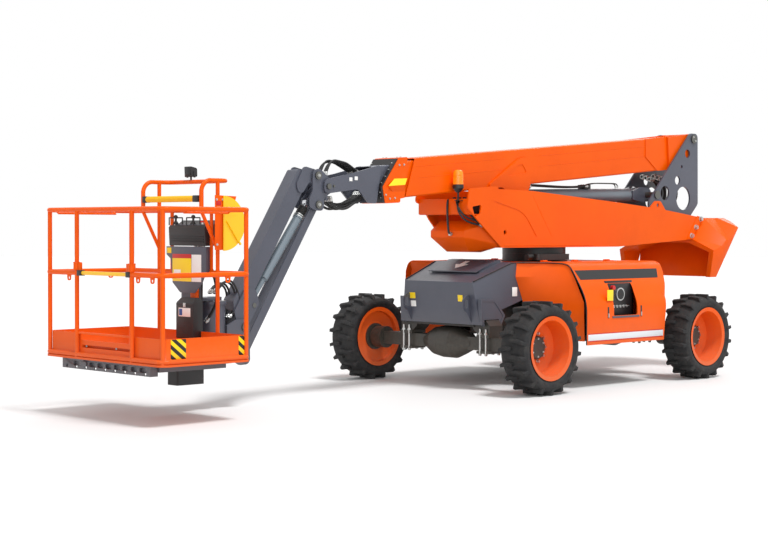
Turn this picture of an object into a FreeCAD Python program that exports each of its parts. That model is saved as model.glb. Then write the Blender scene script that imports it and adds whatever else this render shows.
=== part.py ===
import FreeCAD, Part
import math
import os

# Telescopic boom lift, parked with the booms drawn in and the jib folded down.
# Millimetres; +X along the stowed boom towards the platform, +Y to the machine's left, +Z up.
# Everything is drawn about the slewing axis; saving moves it to the origin, which is on the ground under the
# middle of the whole parked machine.

os.makedirs("parts", exist_ok=True)

V = FreeCAD.Vector
xAxis = V(1, 0, 0)
yAxis = V(0, 1, 0)
zAxis = V(0, 0, 1)

# driving dimensions
wheelBase = 2400.0
trackWidth = 2200.0
tyreRadius = 419.0
tyreWidth = 300.0
lugsPerSide = 18
beadRadius = 261.0
rimFlangeRadius = 288.0
kingpinY = 950.0
deckTop = 1165.0
podSide = 1085.0
podBottom = 405.0
coverFront = 515.0
turretHalf = 352.0
boomPivot = (-2400.0, 2455.0)
boomSlope = 5.15
boomLength = 4400.0
liftEye = (-1740.0, 1842.0)
liftRodPin = (430.0, 1790.0)
levelPin = (2862.0, 1838.0)
jibPin = (2960.0, 1930.0)
linkPin = (2955.0, 1680.0)
jibRodPin = (3005.0, 1700.0)
jibAngle = 57.5
jibLength = 1500.0
rotatorX = 4030.0
platformX = (4310.0, 5130.0)
platformY = (-720.0, 820.0)
railRadius = 19.0
bottomRailZ = 491.0
midRailZ = 1127.0
topRailZ = 1618.0

# running clearance of a pin in its bore
fit = 0.05

# from the counterweight's rear to the gate sleeves' front, and where the slewing axis stands in that length
counterweightRear = -2820.0
sleeveRadius = 28.0
slewX = -(counterweightRear + platformX[1] + sleeveRadius) / 2

axleX = wheelBase / 2
wheelY = trackWidth / 2
axleZ = tyreRadius
spindleRadius = 45.0
spindleEnd = wheelY - 70
tieRodX = 150.0
tieRodZ = 25.0
steerArmTop = 8.0


# shape helpers
def box(x0, x1, y0, y1, z0, z1):
    return Part.makeBox(x1 - x0, y1 - y0, z1 - z0, V(x0, y0, z0))


def rod(a, b, r):
    a = V(*a)
    b = V(*b)
    return Part.makeCylinder(r, (b - a).Length, a, b - a)


def crossRod(point, half, r):
    # a round bar across the machine at an X and Z
    return rod((point[0], -half, point[1]), (point[0], half, point[1]), r)


def outlineEdges(points, place):
    # a closed outline in two coordinates; a third number rounds that corner to a radius
    flat = [V(p[0], p[1], 0) for p in points]
    corners = []
    for i, p in enumerate(points):
        if len(p) < 3:
            corners.append((flat[i], None, flat[i]))
            continue
        before = (flat[i - 1] - flat[i]).normalize()
        after = (flat[(i + 1) % len(flat)] - flat[i]).normalize()
        half = before.getAngle(after) / 2
        centre = flat[i] + (before + after).normalize() * (p[2] / math.sin(half))
        middle = centre + (flat[i] - centre).normalize() * p[2]
        reach = p[2] / math.tan(half)
        corners.append((flat[i] + before * reach, middle, flat[i] + after * reach))
    edges = []
    for i, (start, middle, end) in enumerate(corners):
        if middle is not None:
            edges.append(Part.Arc(place(start), place(middle), place(end)).toShape())
        following = corners[(i + 1) % len(corners)][0]
        if (following - end).Length > 0.001:
            edges.append(Part.makeLine(place(end), place(following)))
    return edges


def slabY(outline, y0, y1):
    # a plate cut to an outline in X and Z, between two stations across the machine
    edges = outlineEdges(outline, lambda p: V(p.x, y0, p.y))
    return Part.Face(Part.Wire(edges)).extrude(V(0, y1 - y0, 0))


def slabX(outline, x0, x1):
    # the same to an outline in Y and Z, between two stations along it
    edges = outlineEdges(outline, lambda p: V(x0, p.x, p.y))
    return Part.Face(Part.Wire(edges)).extrude(V(x1 - x0, 0, 0))


def slabZ(outline, z0, z1):
    edges = outlineEdges(outline, lambda p: V(p.x, p.y, z0))
    return Part.Face(Part.Wire(edges)).extrude(V(0, 0, z1 - z0))


def fuse(shapes):
    first = shapes[0]
    if len(shapes) > 1:
        first = first.multiFuse(shapes[1:])
    return first.removeSplitter()


def cutAll(shape, tools):
    for tool in tools:
        shape = shape.cut(tool)
    return shape


def turned(shape, centre, axis, degrees):
    out = shape.copy()
    out.rotate(V(*centre), axis, degrees)
    return out


def moved(shape, dx, dy, dz):
    out = shape.copy()
    out.translate(V(dx, dy, dz))
    return out


def mirrored(shape):
    return shape.mirror(V(0, 0, 0), yAxis)


def bothSides(shape):
    return [shape, mirrored(shape)]


def loft(sections):
    wires = [Part.makePolygon([V(*p) for p in s] + [V(*s[0])]) for s in sections]
    return Part.makeLoft(wires, True, True)


def facetSolid(low, high):
    # a closed body between two loops of the same number of points, in flat facets
    faces = [Part.Face(Part.makePolygon([V(*p) for p in loop + [loop[0]]])) for loop in (low, high)]
    for i in range(len(low)):
        j = (i + 1) % len(low)
        for corners in ((low[i], low[j], high[j]), (low[i], high[j], high[i])):
            faces.append(Part.Face(Part.makePolygon([V(*p) for p in corners + (corners[0],)])))
    solid = Part.Solid(Part.Shell(faces))
    if solid.Volume < 0:
        solid.reverse()
    return solid


def mitredTube(points, r):
    # a round tube through points, mitred at each
    pts = [V(*p) for p in points]
    profile = Part.Wire(Part.makeCircle(r, pts[0], (pts[1] - pts[0]).normalize()))
    return Part.makePolygon(pts).makePipeShell([profile], True, False, 1)


def cornerCuts(points, bend, steps):
    # the same route with every inner corner turned in equal steps at the bend radius
    pts = [V(*p) for p in points]
    out = [pts[0]]
    for i in range(1, len(pts) - 1):
        inDir = (pts[i] - pts[i - 1]).normalize()
        outDir = (pts[i + 1] - pts[i]).normalize()
        turn = inDir.getAngle(outDir)
        centre = pts[i] + (outDir - inDir).normalize() * (bend / math.cos(turn / 2))
        across = pts[i] - inDir * (bend * math.tan(turn / 2)) - centre
        # corners of a polygon round the arc, the first and last on its straight ends
        for k in range(steps):
            angle = (k + 0.5) * turn / steps
            reach = 1 / math.cos(turn / steps / 2)
            out.append(centre + (across * math.cos(angle) + inDir * (bend * math.sin(angle))) * reach)
    return out + [pts[-1]]


def revolved(outline, centre, axis):
    # the outline is given as distance along the axis and radius
    pts = [V(0, a, r) for a, r in outline]
    ring = Part.Face(Part.makePolygon(pts + [pts[0]])).revolve(V(0, 0, 0), yAxis, 360)
    if axis == "z":
        ring.rotate(V(0, 0, 0), xAxis, 90)
    if axis == "x":
        ring.rotate(V(0, 0, 0), zAxis, -90)
    ring.translate(V(*centre))
    return ring


def save(name, shape):
    solids = moved(shape, slewX, 0, 0).Solids
    out = solids[0] if len(solids) == 1 else Part.makeCompound(solids)
    out.exportStep("parts/" + name + ".step")
    print(name, len(solids), "solids", len(shape.Faces), "faces", shape.isValid())


# wheels, each built about its own centre with the outer side towards +Y
def facetedRing(outline, sides):
    # a ring with flat facets round it, from distance along the axis and radius, so that lugs seat on flats
    rings = []
    for along, radius in outline:
        corner = radius / math.cos(math.pi / sides)
        angles = [(i + 0.5) * 2 * math.pi / sides for i in range(sides)]
        rings.append([V(corner * math.sin(a), along, corner * math.cos(a)) for a in angles])
    faces = []
    for j, ring in enumerate(rings):
        following = rings[(j + 1) % len(rings)]
        for i in range(sides):
            k = (i + 1) % sides
            faces.append(Part.Face(Part.makePolygon([ring[i], ring[k], following[k], following[i],
                                                     ring[i]])))
    solid = Part.Solid(Part.Shell(faces))
    if solid.Volume < 0:
        solid.reverse()
    return solid


def makeTyre():
    # carcass with a bead and a rounded shoulder, and a row of bent lugs down each side, half a pitch apart
    half = tyreWidth / 2
    crown = tyreRadius - 24
    bead = half - 32
    outline = [(-bead, beadRadius + 1.5), (-half, 316), (-half + 45, crown),
               (half - 45, crown), (half, 316), (bead, beadRadius + 1.5)]
    carcass = facetedRing(outline, 2 * lugsPerSide)
    lugTop = tyreRadius - 1.6
    bar = [(-30, -8), (4, -8), (24, half), (-8, half), (-30, 58)]
    lug = slabZ(bar, 322, lugTop)
    shoulder = [(half - 16, lugTop + 1), (half + 1, lugTop + 1), (half + 1, 321), (half - 3, 321)]
    lug = lug.cut(slabX(shoulder, -60, 60))
    pitch = 360.0 / lugsPerSide
    lugs = []
    for i in range(lugsPerSide):
        lugs.append(turned(lug, (0, 0, 0), yAxis, i * pitch))
        lugs.append(turned(mirrored(lug), (0, 0, 0), yAxis, (i + 0.5) * pitch))
    return carcass.multiFuse(lugs)


def makeRim():
    # deep-dished wheel: flanges, well, and the cone that runs in to the disc on the hub
    half = tyreWidth / 2
    outline = [(half - 13, rimFlangeRadius), (half - 31, beadRadius), (-half + 31, beadRadius),
               (-half + 13, rimFlangeRadius),
               (-half + 20, 250), (-95, 244), (-78, 150), (-78, 60), (-66, 60), (-66, 158), (-40, 232),
               (60, 240), (half - 20, 250)]
    return revolved(outline, (0, 0, 0), "y")


def makeHub():
    # the flange stands behind the wheel disc, the pilot passes its bore and the cap shows in the dish
    outline = [(-95, 0), (-95, 128), (-78, 128), (-78, 59.5), (-66, 59.5), (-66, 106),
               (-36, 106), (-24, 94), (-24, 0)]
    hub = revolved(outline, (0, 0, 0), "y")
    return hub.cut(rod((0, -120, 0), (0, -68, 0), spindleRadius + fit))


def placeWheel(blank, x, side):
    out = blank if side > 0 else mirrored(blank)
    return moved(out, x, side * wheelY, axleZ)


def saveWheels():
    blanks = {"tyre": makeTyre(), "rim": makeRim(), "hub": makeHub()}
    for end, x in (("front", axleX), ("rear", -axleX)):
        for name, side in (("left", 1), ("right", -1)):
            for kind in blanks:
                save(kind + "_" + end + "_" + name, placeWheel(blanks[kind], x, side))


saveWheels()

# axles, each built about its own centre
padY = {"fixed": 493.0, "steer": 430.0}
drumRadius = 105.0


def axleBeam(endY):
    # banjo casing in the middle, square arms, brake housings at the ends, drive nose towards the middle
    casing = revolved([(-300, 0), (-300, 60), (-170, 130), (-60, 150), (90, 150), (190, 110), (300, 60),
                       (300, 0)],
                      (0, 0, 0), "y")
    parts = [box(-55, 55, -endY, endY, -60, 60), casing, rod((0, 20, 0), (-260, 20, 0), 75)]
    parts += bothSides(rod((0, endY - 130, 0), (0, endY, 0), drumRadius))
    return parts


def fixedAxle():
    parts = axleBeam(wheelY - 120)
    y = padY["fixed"]
    parts += bothSides(rod((0, wheelY - 130, 0), (0, spindleEnd, 0), spindleRadius))
    parts += bothSides(box(-95, 95, y - 75, y + 75, 60, 90))
    parts += bothSides(box(-95, 95, y - 75, y + 75, -84, -60))
    return moved(fuse(parts), axleX, 0, axleZ)


def steerAxle():
    # forked ends round the kingpins, and the steering cylinder's barrel on its bracket
    parts = axleBeam(kingpinY - 150)
    y = padY["steer"]
    parts += bothSides(box(-95, 95, y - 60, y + 60, 60, 90))
    for z in (92, -122):
        arm = box(-40, 40, kingpinY - 190, kingpinY, z, z + 30)
        parts += bothSides(arm.fuse(rod((0, kingpinY, z), (0, kingpinY, z + 30), 40)))
    parts += bothSides(box(-40, 40, kingpinY - 190, kingpinY - 150, -122, 122))
    for z in (60, -128):
        parts += bothSides(rod((0, kingpinY, z), (0, kingpinY, z + 68), 22))
    parts.append(rod((tieRodX, -250, tieRodZ), (tieRodX, 250, tieRodZ), 36))
    parts.append(box(50, tieRodX + 25, -60, 60, -20, 58))
    axle = fuse(parts).cut(rod((tieRodX, -260, tieRodZ), (tieRodX, 260, tieRodZ), 20 + fit))
    return moved(axle, -axleX, 0, axleZ)


def knuckle(side):
    # upright barrel on the kingpin, spindle for the hub and an arm forward to the tie rod
    parts = [rod((0, kingpinY, -84), (0, kingpinY, 84), 48),
             box(-48, 48, kingpinY, kingpinY + 22, -84, 84),
             rod((0, kingpinY, 0), (0, spindleEnd, 0), spindleRadius),
             slabZ([(0, kingpinY - 30), (tieRodX + 26, kingpinY - 66, 24),
                    (tieRodX + 26, kingpinY - 14, 24), (0, kingpinY + 20)],
                   -14, steerArmTop)]
    out = fuse(parts)
    for z in (40, -90):
        out = out.cut(rod((0, kingpinY, z), (0, kingpinY, z + 50), 22 + fit))
    out = out if side > 0 else mirrored(out)
    return moved(out, -axleX, 0, axleZ)


def tieRods():
    # one rod through the steering cylinder, thinner beyond it, with a joint housing above each knuckle's arm
    eyeY = kingpinY - 40
    parts = [rod((tieRodX, -420, tieRodZ), (tieRodX, 420, tieRodZ), 20)]
    parts += bothSides(rod((tieRodX, 400, tieRodZ), (tieRodX, eyeY, tieRodZ), 15))
    parts += bothSides(rod((tieRodX, eyeY, steerArmTop + 3), (tieRodX, eyeY, tieRodZ + 22), 22))
    return moved(fuse(parts), -axleX, 0, axleZ)


save("axle_beams", Part.makeCompound([fixedAxle(), steerAxle()]))
save("knuckle_left", knuckle(1))
save("knuckle_right", knuckle(-1))
save("tie_rods", tieRods())

# chassis
frameHalf = 380.0
frameEnd = 1290.0
bayRear = -640.0
bayFront = 500.0
sillTop = 470.0
hoodStart = 700.0


def chassisFrame():
    # closed box frame with sloping ends, sills that carry the side bays, and the seats on the axles
    side = [(-frameEnd, 576), (frameEnd, 576), (frameEnd, 860), (hoodStart + 60, 1090),
            (-hoodStart - 60, 1090),
            (-frameEnd, 860)]
    parts = [slabY(side, -frameHalf, frameHalf), box(-600, 560, -frameHalf, frameHalf, 1089, 1152),
             rod((0, 0, 1150), (0, 0, 1172), 330)]
    parts += bothSides(box(bayRear + 20, bayFront - 20, frameHalf, 1020, sillTop - 30, sillTop))
    parts += bothSides(box(bayRear + 20, bayFront - 20, frameHalf, frameHalf + 30, sillTop - 30, 600))
    seat = slabX([(frameHalf - 20, 640), (frameHalf - 20, 560), (418, axleZ + 90), (568, axleZ + 90),
                  (568, 590), (520, 640)],
                 axleX - 95, axleX + 80)
    parts += bothSides(seat)
    rearSeat = slabX([(340, 600), (370, axleZ + 90), (490, axleZ + 90), (490, 600), (450, 640), (340, 640)],
                     -axleX - 90, -axleX + 90)
    parts += bothSides(rearSeat)
    return fuse(parts)


def hoodBody(grow):
    # sheet hood over the end of the frame: top sloping to the front, sides leaning out to the bottom
    rear = [(hoodStart - grow, -500 + grow, 1162 - grow), (hoodStart - grow, 500 - grow, 1162 - grow),
            (hoodStart - grow, 500 - grow, 560), (hoodStart - grow, -500 + grow, 560)]
    shoulder = [(880, p[1], p[2]) for p in rear]
    nose = [(1372 - grow, -433 + grow, 988 - grow), (1372 - grow, 433 - grow, 988 - grow),
            (1330 - grow, 506 - grow, 560), (1330 - grow, -506 + grow, 560)]
    return loft([rear, shoulder]).fuse(loft([shoulder, nose]))


def hoodSkirt():
    # lower side box that stands out from the hood beside the wheel, with a ledge on top
    outline = [(1346, 838), (1153, 831, 20), (1015, 678, 20), (1111, 520, 20), (1334, 600)]
    panel = [(1330, 815), (1165, 808, 15), (1045, 676, 15), (1118, 548, 15), (1320, 620)]
    return slabY(outline, 478, 522).cut(slabY(panel, 518, 523))


def lashingEye():
    # oblong ring plate on the nose with a tapering foot down the front
    plate = slabY([(1345, 868), (1400, 868, 36), (1448, 830, 30), (1448, 750, 36), (1400, 712, 20),
                   (1334, 610), (1330, 700)],
                  378, 392)
    return plate.cut(slabY([(1386, 838, 17), (1422, 838, 17), (1422, 748, 17), (1386, 748, 17)], 370, 400))


def hood():
    lowerCut = slabY([(600, 500), (600, 830), (769, 807), (1036, 731), (1015, 678), (1111, 520),
                      (1334, 600),
                      (1500, 612), (1500, 500)], -600, 600)
    sheet = hoodBody(0).cut(hoodBody(8)).cut(lowerCut)
    body = fuse([sheet] + bothSides(hoodSkirt()) + bothSides(lashingEye()))
    # notches that let the axle's seats through
    return cutAll(body, bothSides(box(axleX - 100, axleX + 98, 380, 600, 500, 646)))


def frontHood():
    # the front hood also has a raised service lid, open at its front edge over a slot in the sheet
    slope = (1162.0 - 988.0) / (1372.0 - 880.0)
    top = [(x, 1162 - slope * (x - 880)) for x in (900, 1180)]
    lid = slabY([(846, 1162), (846, 1188), (top[0][0], top[0][1] + 28), (top[1][0], top[1][1] + 26),
                 (top[1][0], top[1][1] + 16),
                 (top[0][0], top[0][1] + 16), (860, 1174), (860, 1162)], -308, 308)
    cheek = slabY([(860, 1161), (860, 1180), (top[0][0], top[0][1] + 20), (top[1][0] - 40, top[1][1] + 22),
                   (top[1][0] - 70, top[1][1] + 3), (top[0][0], top[0][1] - 1)], 298, 308)
    slot = box(1010, 1140, -280, 280, 1000, 1200)
    return fuse([hood().cut(slot), lid] + bothSides(cheek))


save("chassis_frame", chassisFrame())
save("hoods", Part.makeCompound([frontHood(), hood().mirror(V(0, 0, 0), xAxis)]))

# side bays and their gull-wing covers
coverSheet = 10.0
hingeY = 500.0
hingeZ = 1172.0
hingePlaces = (-560.0, -60.0, 400.0)


def bayProfile(inset, start, bottom):
    # the pod's rounded section, from the deck out over the shoulder and down the side
    side = podSide - inset
    top = deckTop - inset
    return [(start, bottom), (start, top), (865, top, 130 - inset), (1010, 945, 300 - inset),
            (side, 770, 260 - inset), (side, bottom)]


def cover():
    # rolled sheet; its rear edge is raked clear of the steered tyre
    sheet = slabX(bayProfile(0, hingeY + 4, podBottom), -960, coverFront)
    sheet = sheet.cut(slabX(bayProfile(coverSheet, hingeY - 10, podBottom - 1), -961, coverFront + 1))
    rake = slabY([(-1000, 300), (-675, 300), (-675, 430), (-720, 830), (-860, 1060), (-900, 1200),
                  (-1000, 1200)],
                 480, 1200)
    sheet = sheet.cut(rake).cut(slabY([(-140, 690, 15), (140, 690, 15), (140, 960, 15), (-140, 960, 15)],
                                      1000, 1200))
    for x in hingePlaces:
        strap = box(x, x + 60, hingeY, hingeY + 60, deckTop,
                    deckTop + 6).fuse(rod((x, hingeY, hingeZ), (x + 60, hingeY, hingeZ), 9))
        sheet = sheet.fuse(strap).cut(rod((x - 1, hingeY, hingeZ), (x + 61, hingeY, hingeZ), 5 + fit))
    return sheet.removeSplitter()


def bayFrontPanel():
    # bright lip that slopes forward under the cover's edge, the recess behind it and the lower panel
    skin = slabY([(bayFront + 22, deckTop - 3), (560, deckTop - 3), (hoodStart, 1035), (hoodStart, 1020),
                  (570, 800), (566, 440),
                  (552, 440), (556, 806), (672, 1022), (556, 1136), (bayFront + 22, 1145)], 502, 1084)
    return skin.common(slabX(bayProfile(12, 502, 440), 500, hoodStart + 1))


def bayRearPanel():
    panel = slabX(bayProfile(24, 502, 440), bayRear - 6, bayRear + 4)
    return panel.fuse(slabX(bayProfile(24, 502, 440), -690,
                            bayRear).common(box(-690, bayRear, 502, 900, 1120, 1160)))


def deckPlate():
    # deck round the slewing ring, with the hinge pins of both covers standing on its edges
    deck = box(-hoodStart + 0.5, hoodStart - 0.5, -hingeY, hingeY, 1152,
               1162).cut(rod((0, 0, 1100), (0, 0, 1200), 332))
    parts = [deck]
    for x in hingePlaces:
        parts += bothSides(rod((x - 10, hingeY, hingeZ), (x + 70, hingeY, hingeZ), 5))
        for end in (x - 14, x + 62):
            parts += bothSides(box(end, end + 12, hingeY - 18, hingeY, 1162, hingeZ + 7))
            parts += bothSides(rod((end, hingeY, hingeZ), (end + 12, hingeY, hingeZ), 7))
    return fuse(parts)


save("left_cover", cover())
save("right_cover", mirrored(cover()))
save("side_bays", Part.makeCompound([deckPlate()] + bothSides(bayFrontPanel()) + bothSides(bayRearPanel())))

engine = [box(-330, 230, 560, 900, sillTop, 900), box(-480, -330, 600, 860, 560, 860),
          rod((230, 730, 700), (330, 730, 700), 150)]
save("engine_block", fuse(engine))
save("fluid_tanks", slabY([(-560, sillTop, 40), (160, sillTop, 40), (160, 980, 60), (-560, 980, 60)], -960,
                          -500))

# slewing ring and turret
turretPlateThickness = 16.0
counterweightJoint = ((-2403.0, 1600.0), (-2207.0, 1372.0))
liftingEye = (-1574.0, 1728.0)
nosePin = (1238.0, 1752.0)


def slewRing():
    ring = rod((0, 0, 1172), (0, 0, 1240), 312).cut(rod((0, 0, 1171), (0, 0, 1241), 200))
    worm = slabZ([(-60, 250), (420, 250, 40), (420, 420, 40), (-60, 420, 40)], 1180, 1236)
    motor = rod((420, 335, 1208), (500, 335, 1208), 30)
    return fuse([ring, worm, motor])


def turretPlate():
    # tall side plate: raked nose, pressed arc recess, lifting eye on the top edge, bolted joint at the rear
    (jointTopX, jointTopZ), (jointLowX, jointLowZ) = counterweightJoint
    eyeX, eyeZ = liftingEye
    outline = [(-900, 1300), (881, 1300), (1350, 1668, 50), (1322, 1845, 30), (1000, 1872), (940, 1872, 10),
               (925, 1850, 10), (431, 1840), (-935, 1745), (eyeX + 130, 1704), (eyeX + 46, eyeZ + 44, 44),
               (eyeX - 46, eyeZ + 44, 44), (eyeX - 130, 1680), (jointTopX, jointTopZ), (jointLowX,
                                                                                        jointLowZ)]
    plate = slabY(outline, turretHalf - turretPlateThickness, turretHalf)
    recess = slabY([(989, 1738, 8), (560, 1640, 330), (369, 1404, 8), (702, 1404, 60), (800, 1560, 500)],
                   turretHalf - 5, turretHalf + 1)
    plate = plate.cut(recess)
    plate = plate.cut(crossRod((829, 1444), turretHalf + 1, 22))
    return plate.cut(crossRod(liftingEye, turretHalf + 1, 22))


def turretFrame():
    # floor between the side plates that kicks up to the rear wall, and the neck on the slewing ring
    (jointTopX, jointTopZ), (jointLowX, jointLowZ) = counterweightJoint
    inside = turretHalf - turretPlateThickness
    floor = [(-900, 1300), (881, 1300), (881, 1319), (-900, 1319)]
    kickUp = [(-900, 1300), (-900, 1319), (jointLowX, jointLowZ + 18), (jointLowX, jointLowZ)]
    rearWall = [(jointTopX, jointTopZ), (jointTopX + 20, jointTopZ), (jointLowX + 20, jointLowZ),
                (jointLowX, jointLowZ)]
    parts = [slabY(side, -inside, inside) for side in (floor, kickUp, rearWall)]
    return fuse(parts + [rod((0, 0, 1240), (0, 0, 1306), 290)])


def turretNose():
    # closed belly box between the raked noses of the side plates, and the round cross bar above it
    inside = turretHalf - turretPlateThickness
    upper = [(886, -inside, 1322), (886, inside, 1322), (1285, inside, 1612), (1285, -inside, 1612)]
    middle = [(905, -236, 1288), (905, 236, 1288), (1259, 213, 1465), (1259, -213, 1465)]
    lower = [(930, -141, 1256), (930, 141, 1256), (1104, 141, 1260), (1104, -141, 1260)]
    belly = facetSolid(upper, middle).fuse(facetSolid(middle, lower)).removeSplitter()
    return Part.makeCompound([belly, crossRod(nosePin, inside, 22)])


def valveBlock():
    # main control valve between the nose plates, a manifold with its solenoids
    parts = [box(1010, 1190, -150, 250, 1613, 1640), box(1030, 1170, -110, 210, 1640, 1715)]
    for i in range(5):
        y = -80 + i * 65
        parts.append(rod((1065, y, 1715), (1065, y, 1775), 17))
        parts.append(rod((1135, y, 1715), (1135, y, 1760), 17))
    nosePlate = box(1010, 1190, -turretHalf + turretPlateThickness, turretHalf - turretPlateThickness, 1607,
                    1613)
    return fuse(parts + [nosePlate])


def uprights():
    # grey plates that carry the boom's pivot, lightened by round and oblong holes, tied by a cross plate
    x, z = boomPivot
    outline = [(x - 78, z + 60, 50), (x + 60, z + 60, 60), (-1905, 2080), (-1598, 1768, 60), (-1640, 1380),
               (-1640, 1359.6),
               (-2180, 1388.9), (-2290, 1500), (-2352, 1622), (x - 90, 1752, 60)]
    plate = slabY(outline, 196, 214)
    for hx, hz, r in ((-2315, 2297, 24), (-2214, 2148, 14), (-2131, 2003, 26)):
        plate = plate.cut(crossRod((hx, hz), 300, r))
    for hx, hz, width in ((-1905, 1857, 60), (-2247, 1818, 30)):
        bend = width * 0.9
        slot = [(hx - width, hz + 80, bend), (hx + width, hz + 80, bend), (hx + width, hz - 80, bend),
                (hx - width, hz - 80, bend)]
        plate = plate.cut(slabY(slot, 190, 220))
    plate = plate.cut(crossRod(boomPivot, 300, 30 + fit)).cut(crossRod(liftEye, 300, 30 + fit))
    return fuse(bothSides(plate) + [box(-2190, -1700, -197, 197, 1450, 1466)])


def counterweight():
    # cast block hung on the turret's rear: sloped shoulders, faceted front corners, raked back
    # and a pocket below
    (jointTopX, jointTopZ), (jointLowX, jointLowZ) = counterweightJoint
    section = [(-605, 970, 40), (-862, 1500, 30), (-790, 1562, 30), (-690, 1602), (690, 1602),
               (790, 1562, 30), (862, 1500, 30),
               (605, 970, 40)]
    block = slabX(section, counterweightRear, -2236)
    for side in (1, -1):
        block = block.cut(slabZ([(-2400, side * 900), (-2860, side * 900), (-2860, side * 480)], 900, 1700))
        front = [(-2200, side * 587, 1240), (-2200, side * 900, 1535), (-2200, side * 900, 900),
                 (-2200, side * 575, 900)]
        rear = [(-2330, side * 645, 1105), (-2330, side * 905, 1530), (-2330, side * 905, 900),
                (-2330, side * 610, 900)]
        block = block.cut(loft([front, rear]))
    rake = slabY([(-2690, 900), (-2860, 1500), (-2860, 900)], -1000, 1000)
    top = slabY([(-2640, 1610), (-2860, 1540), (-2860, 1610)], -1000, 1000)
    seam = [(jointTopX - 0.5, 1660), (jointTopX - 0.5, jointTopZ), (jointLowX - 0.5, jointLowZ),
            (-2100, jointLowZ), (-2100, 1660)]
    joint = slabY(seam, -turretHalf - 1, turretHalf + 1)
    pocket = slabX([(-560, 1240, 60), (-300, 1345, 80), (300, 1345, 80), (560, 1240, 60), (520, 900),
                    (-520, 900)], -2620, -2200)
    return cutAll(block, [rake, top, joint, pocket])


def beacon():
    # amber lamp on a bracket on the nose's top edge
    bracket = box(940, 1000, 296, turretHalf, 1872, 1878)
    return fuse([bracket, rod((970, 320, 1878), (970, 320, 1918), 9),
                 rod((970, 320, 1918), (970, 320, 1928), 44),
                 rod((970, 320, 1928), (970, 320, 1995), 36)])


save("slew_ring", slewRing())
save("turret_plates", Part.makeCompound(bothSides(turretPlate())))
save("turret_frame", turretFrame())
save("turret_nose", turretNose())
save("valve_block", valveBlock())
save("upright_plates", uprights())
save("counterweight", counterweight())
save("beacon", beacon())

# booms, each in its own length and height from the pivot
baseTop = 42.0
baseBottom = -304.0
baseHalf = 150.0
baseWall = 8.0
nesting = 22.0
slopeCos = math.cos(math.radians(boomSlope))
slopeSin = math.sin(math.radians(boomSlope))


def onBoom(shape):
    # from the boom's own length and height to the machine's frame, at the parked slope
    out = moved(shape, boomPivot[0], 0, boomPivot[1])
    return turned(out, (boomPivot[0], 0, boomPivot[1]), yAxis, boomSlope)


def alongBoom(point):
    # a point of the machine in the boom's own length and height
    dx = point[0] - boomPivot[0]
    dz = point[1] - boomPivot[1]
    return (dx * slopeCos - dz * slopeSin, dx * slopeSin + dz * slopeCos)


def boomTube(outline, inset, thickness):
    # a folded box tube with rounded corners and its ends cut to a side outline
    half = baseHalf - inset
    low = baseBottom + inset
    high = baseTop - inset
    section = [(-half, low, 16), (half, low, 16), (half, high, 16), (-half, high, 16)]
    tube = slabX(section, 0, 6000).common(slabY(outline, -half - 1, half + 1))
    return tube.cut(boomSpace(inset + thickness, -10, 6010))


def boomSpace(inset, s0, s1):
    half = baseHalf - inset
    return box(s0, s1, -half, half, baseBottom + inset, baseTop - inset)


def baseBoom():
    # raked mouth, cheeks round the pivot tube, crescent brackets down to the lift cylinder's rod
    rodS, rodN = alongBoom(liftRodPin)
    tube = boomTube([(120, -400), (boomLength + 40, -400), (boomLength - 165, 60), (120, 60)], 0, baseWall)
    cheek = slabY([(-60, -70, 50), (-60, 60, 60), (420, 42), (420, -304), (170, -304, 90)], baseHalf - 1,
                  182)
    outline = [(2612, -150, 30), (2735, -38, 40), (2850, -50, 120), (3275, -262, 14), (3282, -302),
               (rodS + 190, -304, 120),
               (rodS + 75, rodN - 82, 80), (rodS - 85, rodN - 82, 80), (rodS - 190, -300, 60)]
    bracket = slabY(outline, baseHalf - 1, 168)
    pocket = slabY([(2730, -190, 20), (2790, -100, 30), (2860, -108, 60), (3050, -205, 12)], 162, 170)
    rodBoss = rod((rodS, 70, rodN), (rodS, 151, rodN), 48)
    parts = [tube, crossRod((0, 0), 182,
                            58)] + bothSides(cheek) + bothSides(bracket.cut(pocket)) + bothSides(rodBoss)
    return fuse(parts).cut(crossRod((0, 0), 200, 30 + fit))


def midBoom():
    # second section with a raked collar that carries the wear pads at its mouth
    inset = nesting
    tube = boomTube([(300, -400), (4600, -400), (4600, 60), (300, 60)], inset, 6)
    collar = slabY([(4343, 56, 12), (4452, 56, 20), (4676, -190, 30), (4660, -338, 20), (4470, -345, 20),
                    (4466, -310), (4412, -306)],
                   -baseHalf - 4, baseHalf + 4)
    collar = collar.cut(boomSpace(inset + 6, 4300, 4700))
    return fuse([tube.common(box(0, 4400, -200, 200, -400, 100)), collar])


def midWearPad():
    # black pad frame along the collar's raked mouth
    band = slabY([(4460, 50), (4480, 50), (4697, -193), (4681, -332), (4661.5, -332), (4677.5, -190)],
                 -baseHalf, baseHalf)
    return band.cut(boomSpace(2 * nesting - 1, 4300, 4800))


def flyBoom():
    # last section: two long arms to the levelling pin, welded outside the tube's end behind a head frame
    inset = 2 * nesting
    pinS, pinN = alongBoom(levelPin)
    half = baseHalf - inset
    tube = boomTube([(420, -400), (4800, -400), (4740, 60), (420, 60)], inset, 5)
    outline = [(4645, 6, 30), (4985, -45, 200), (pinS + 30, pinN + 62, 50), (pinS + 62, pinN - 62, 50),
               (4950, -190, 60),
               (4830, -322, 40), (4735, -332, 20)]
    arm = slabY(outline, half, half + 18)
    ring = slabY([(4750, -245), (4800, -245), (4820, -315), (4755, -318)], -half, half)
    fly = fuse([tube, ring] + bothSides(arm))
    return fly.cut(crossRod((pinS, pinN), 200, 25 + fit))


def pivotPin():
    x, z = boomPivot
    return fuse([crossRod(boomPivot, 226, 30)] + bothSides(rod((x, 215, z), (x, 228, z), 46)))


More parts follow.
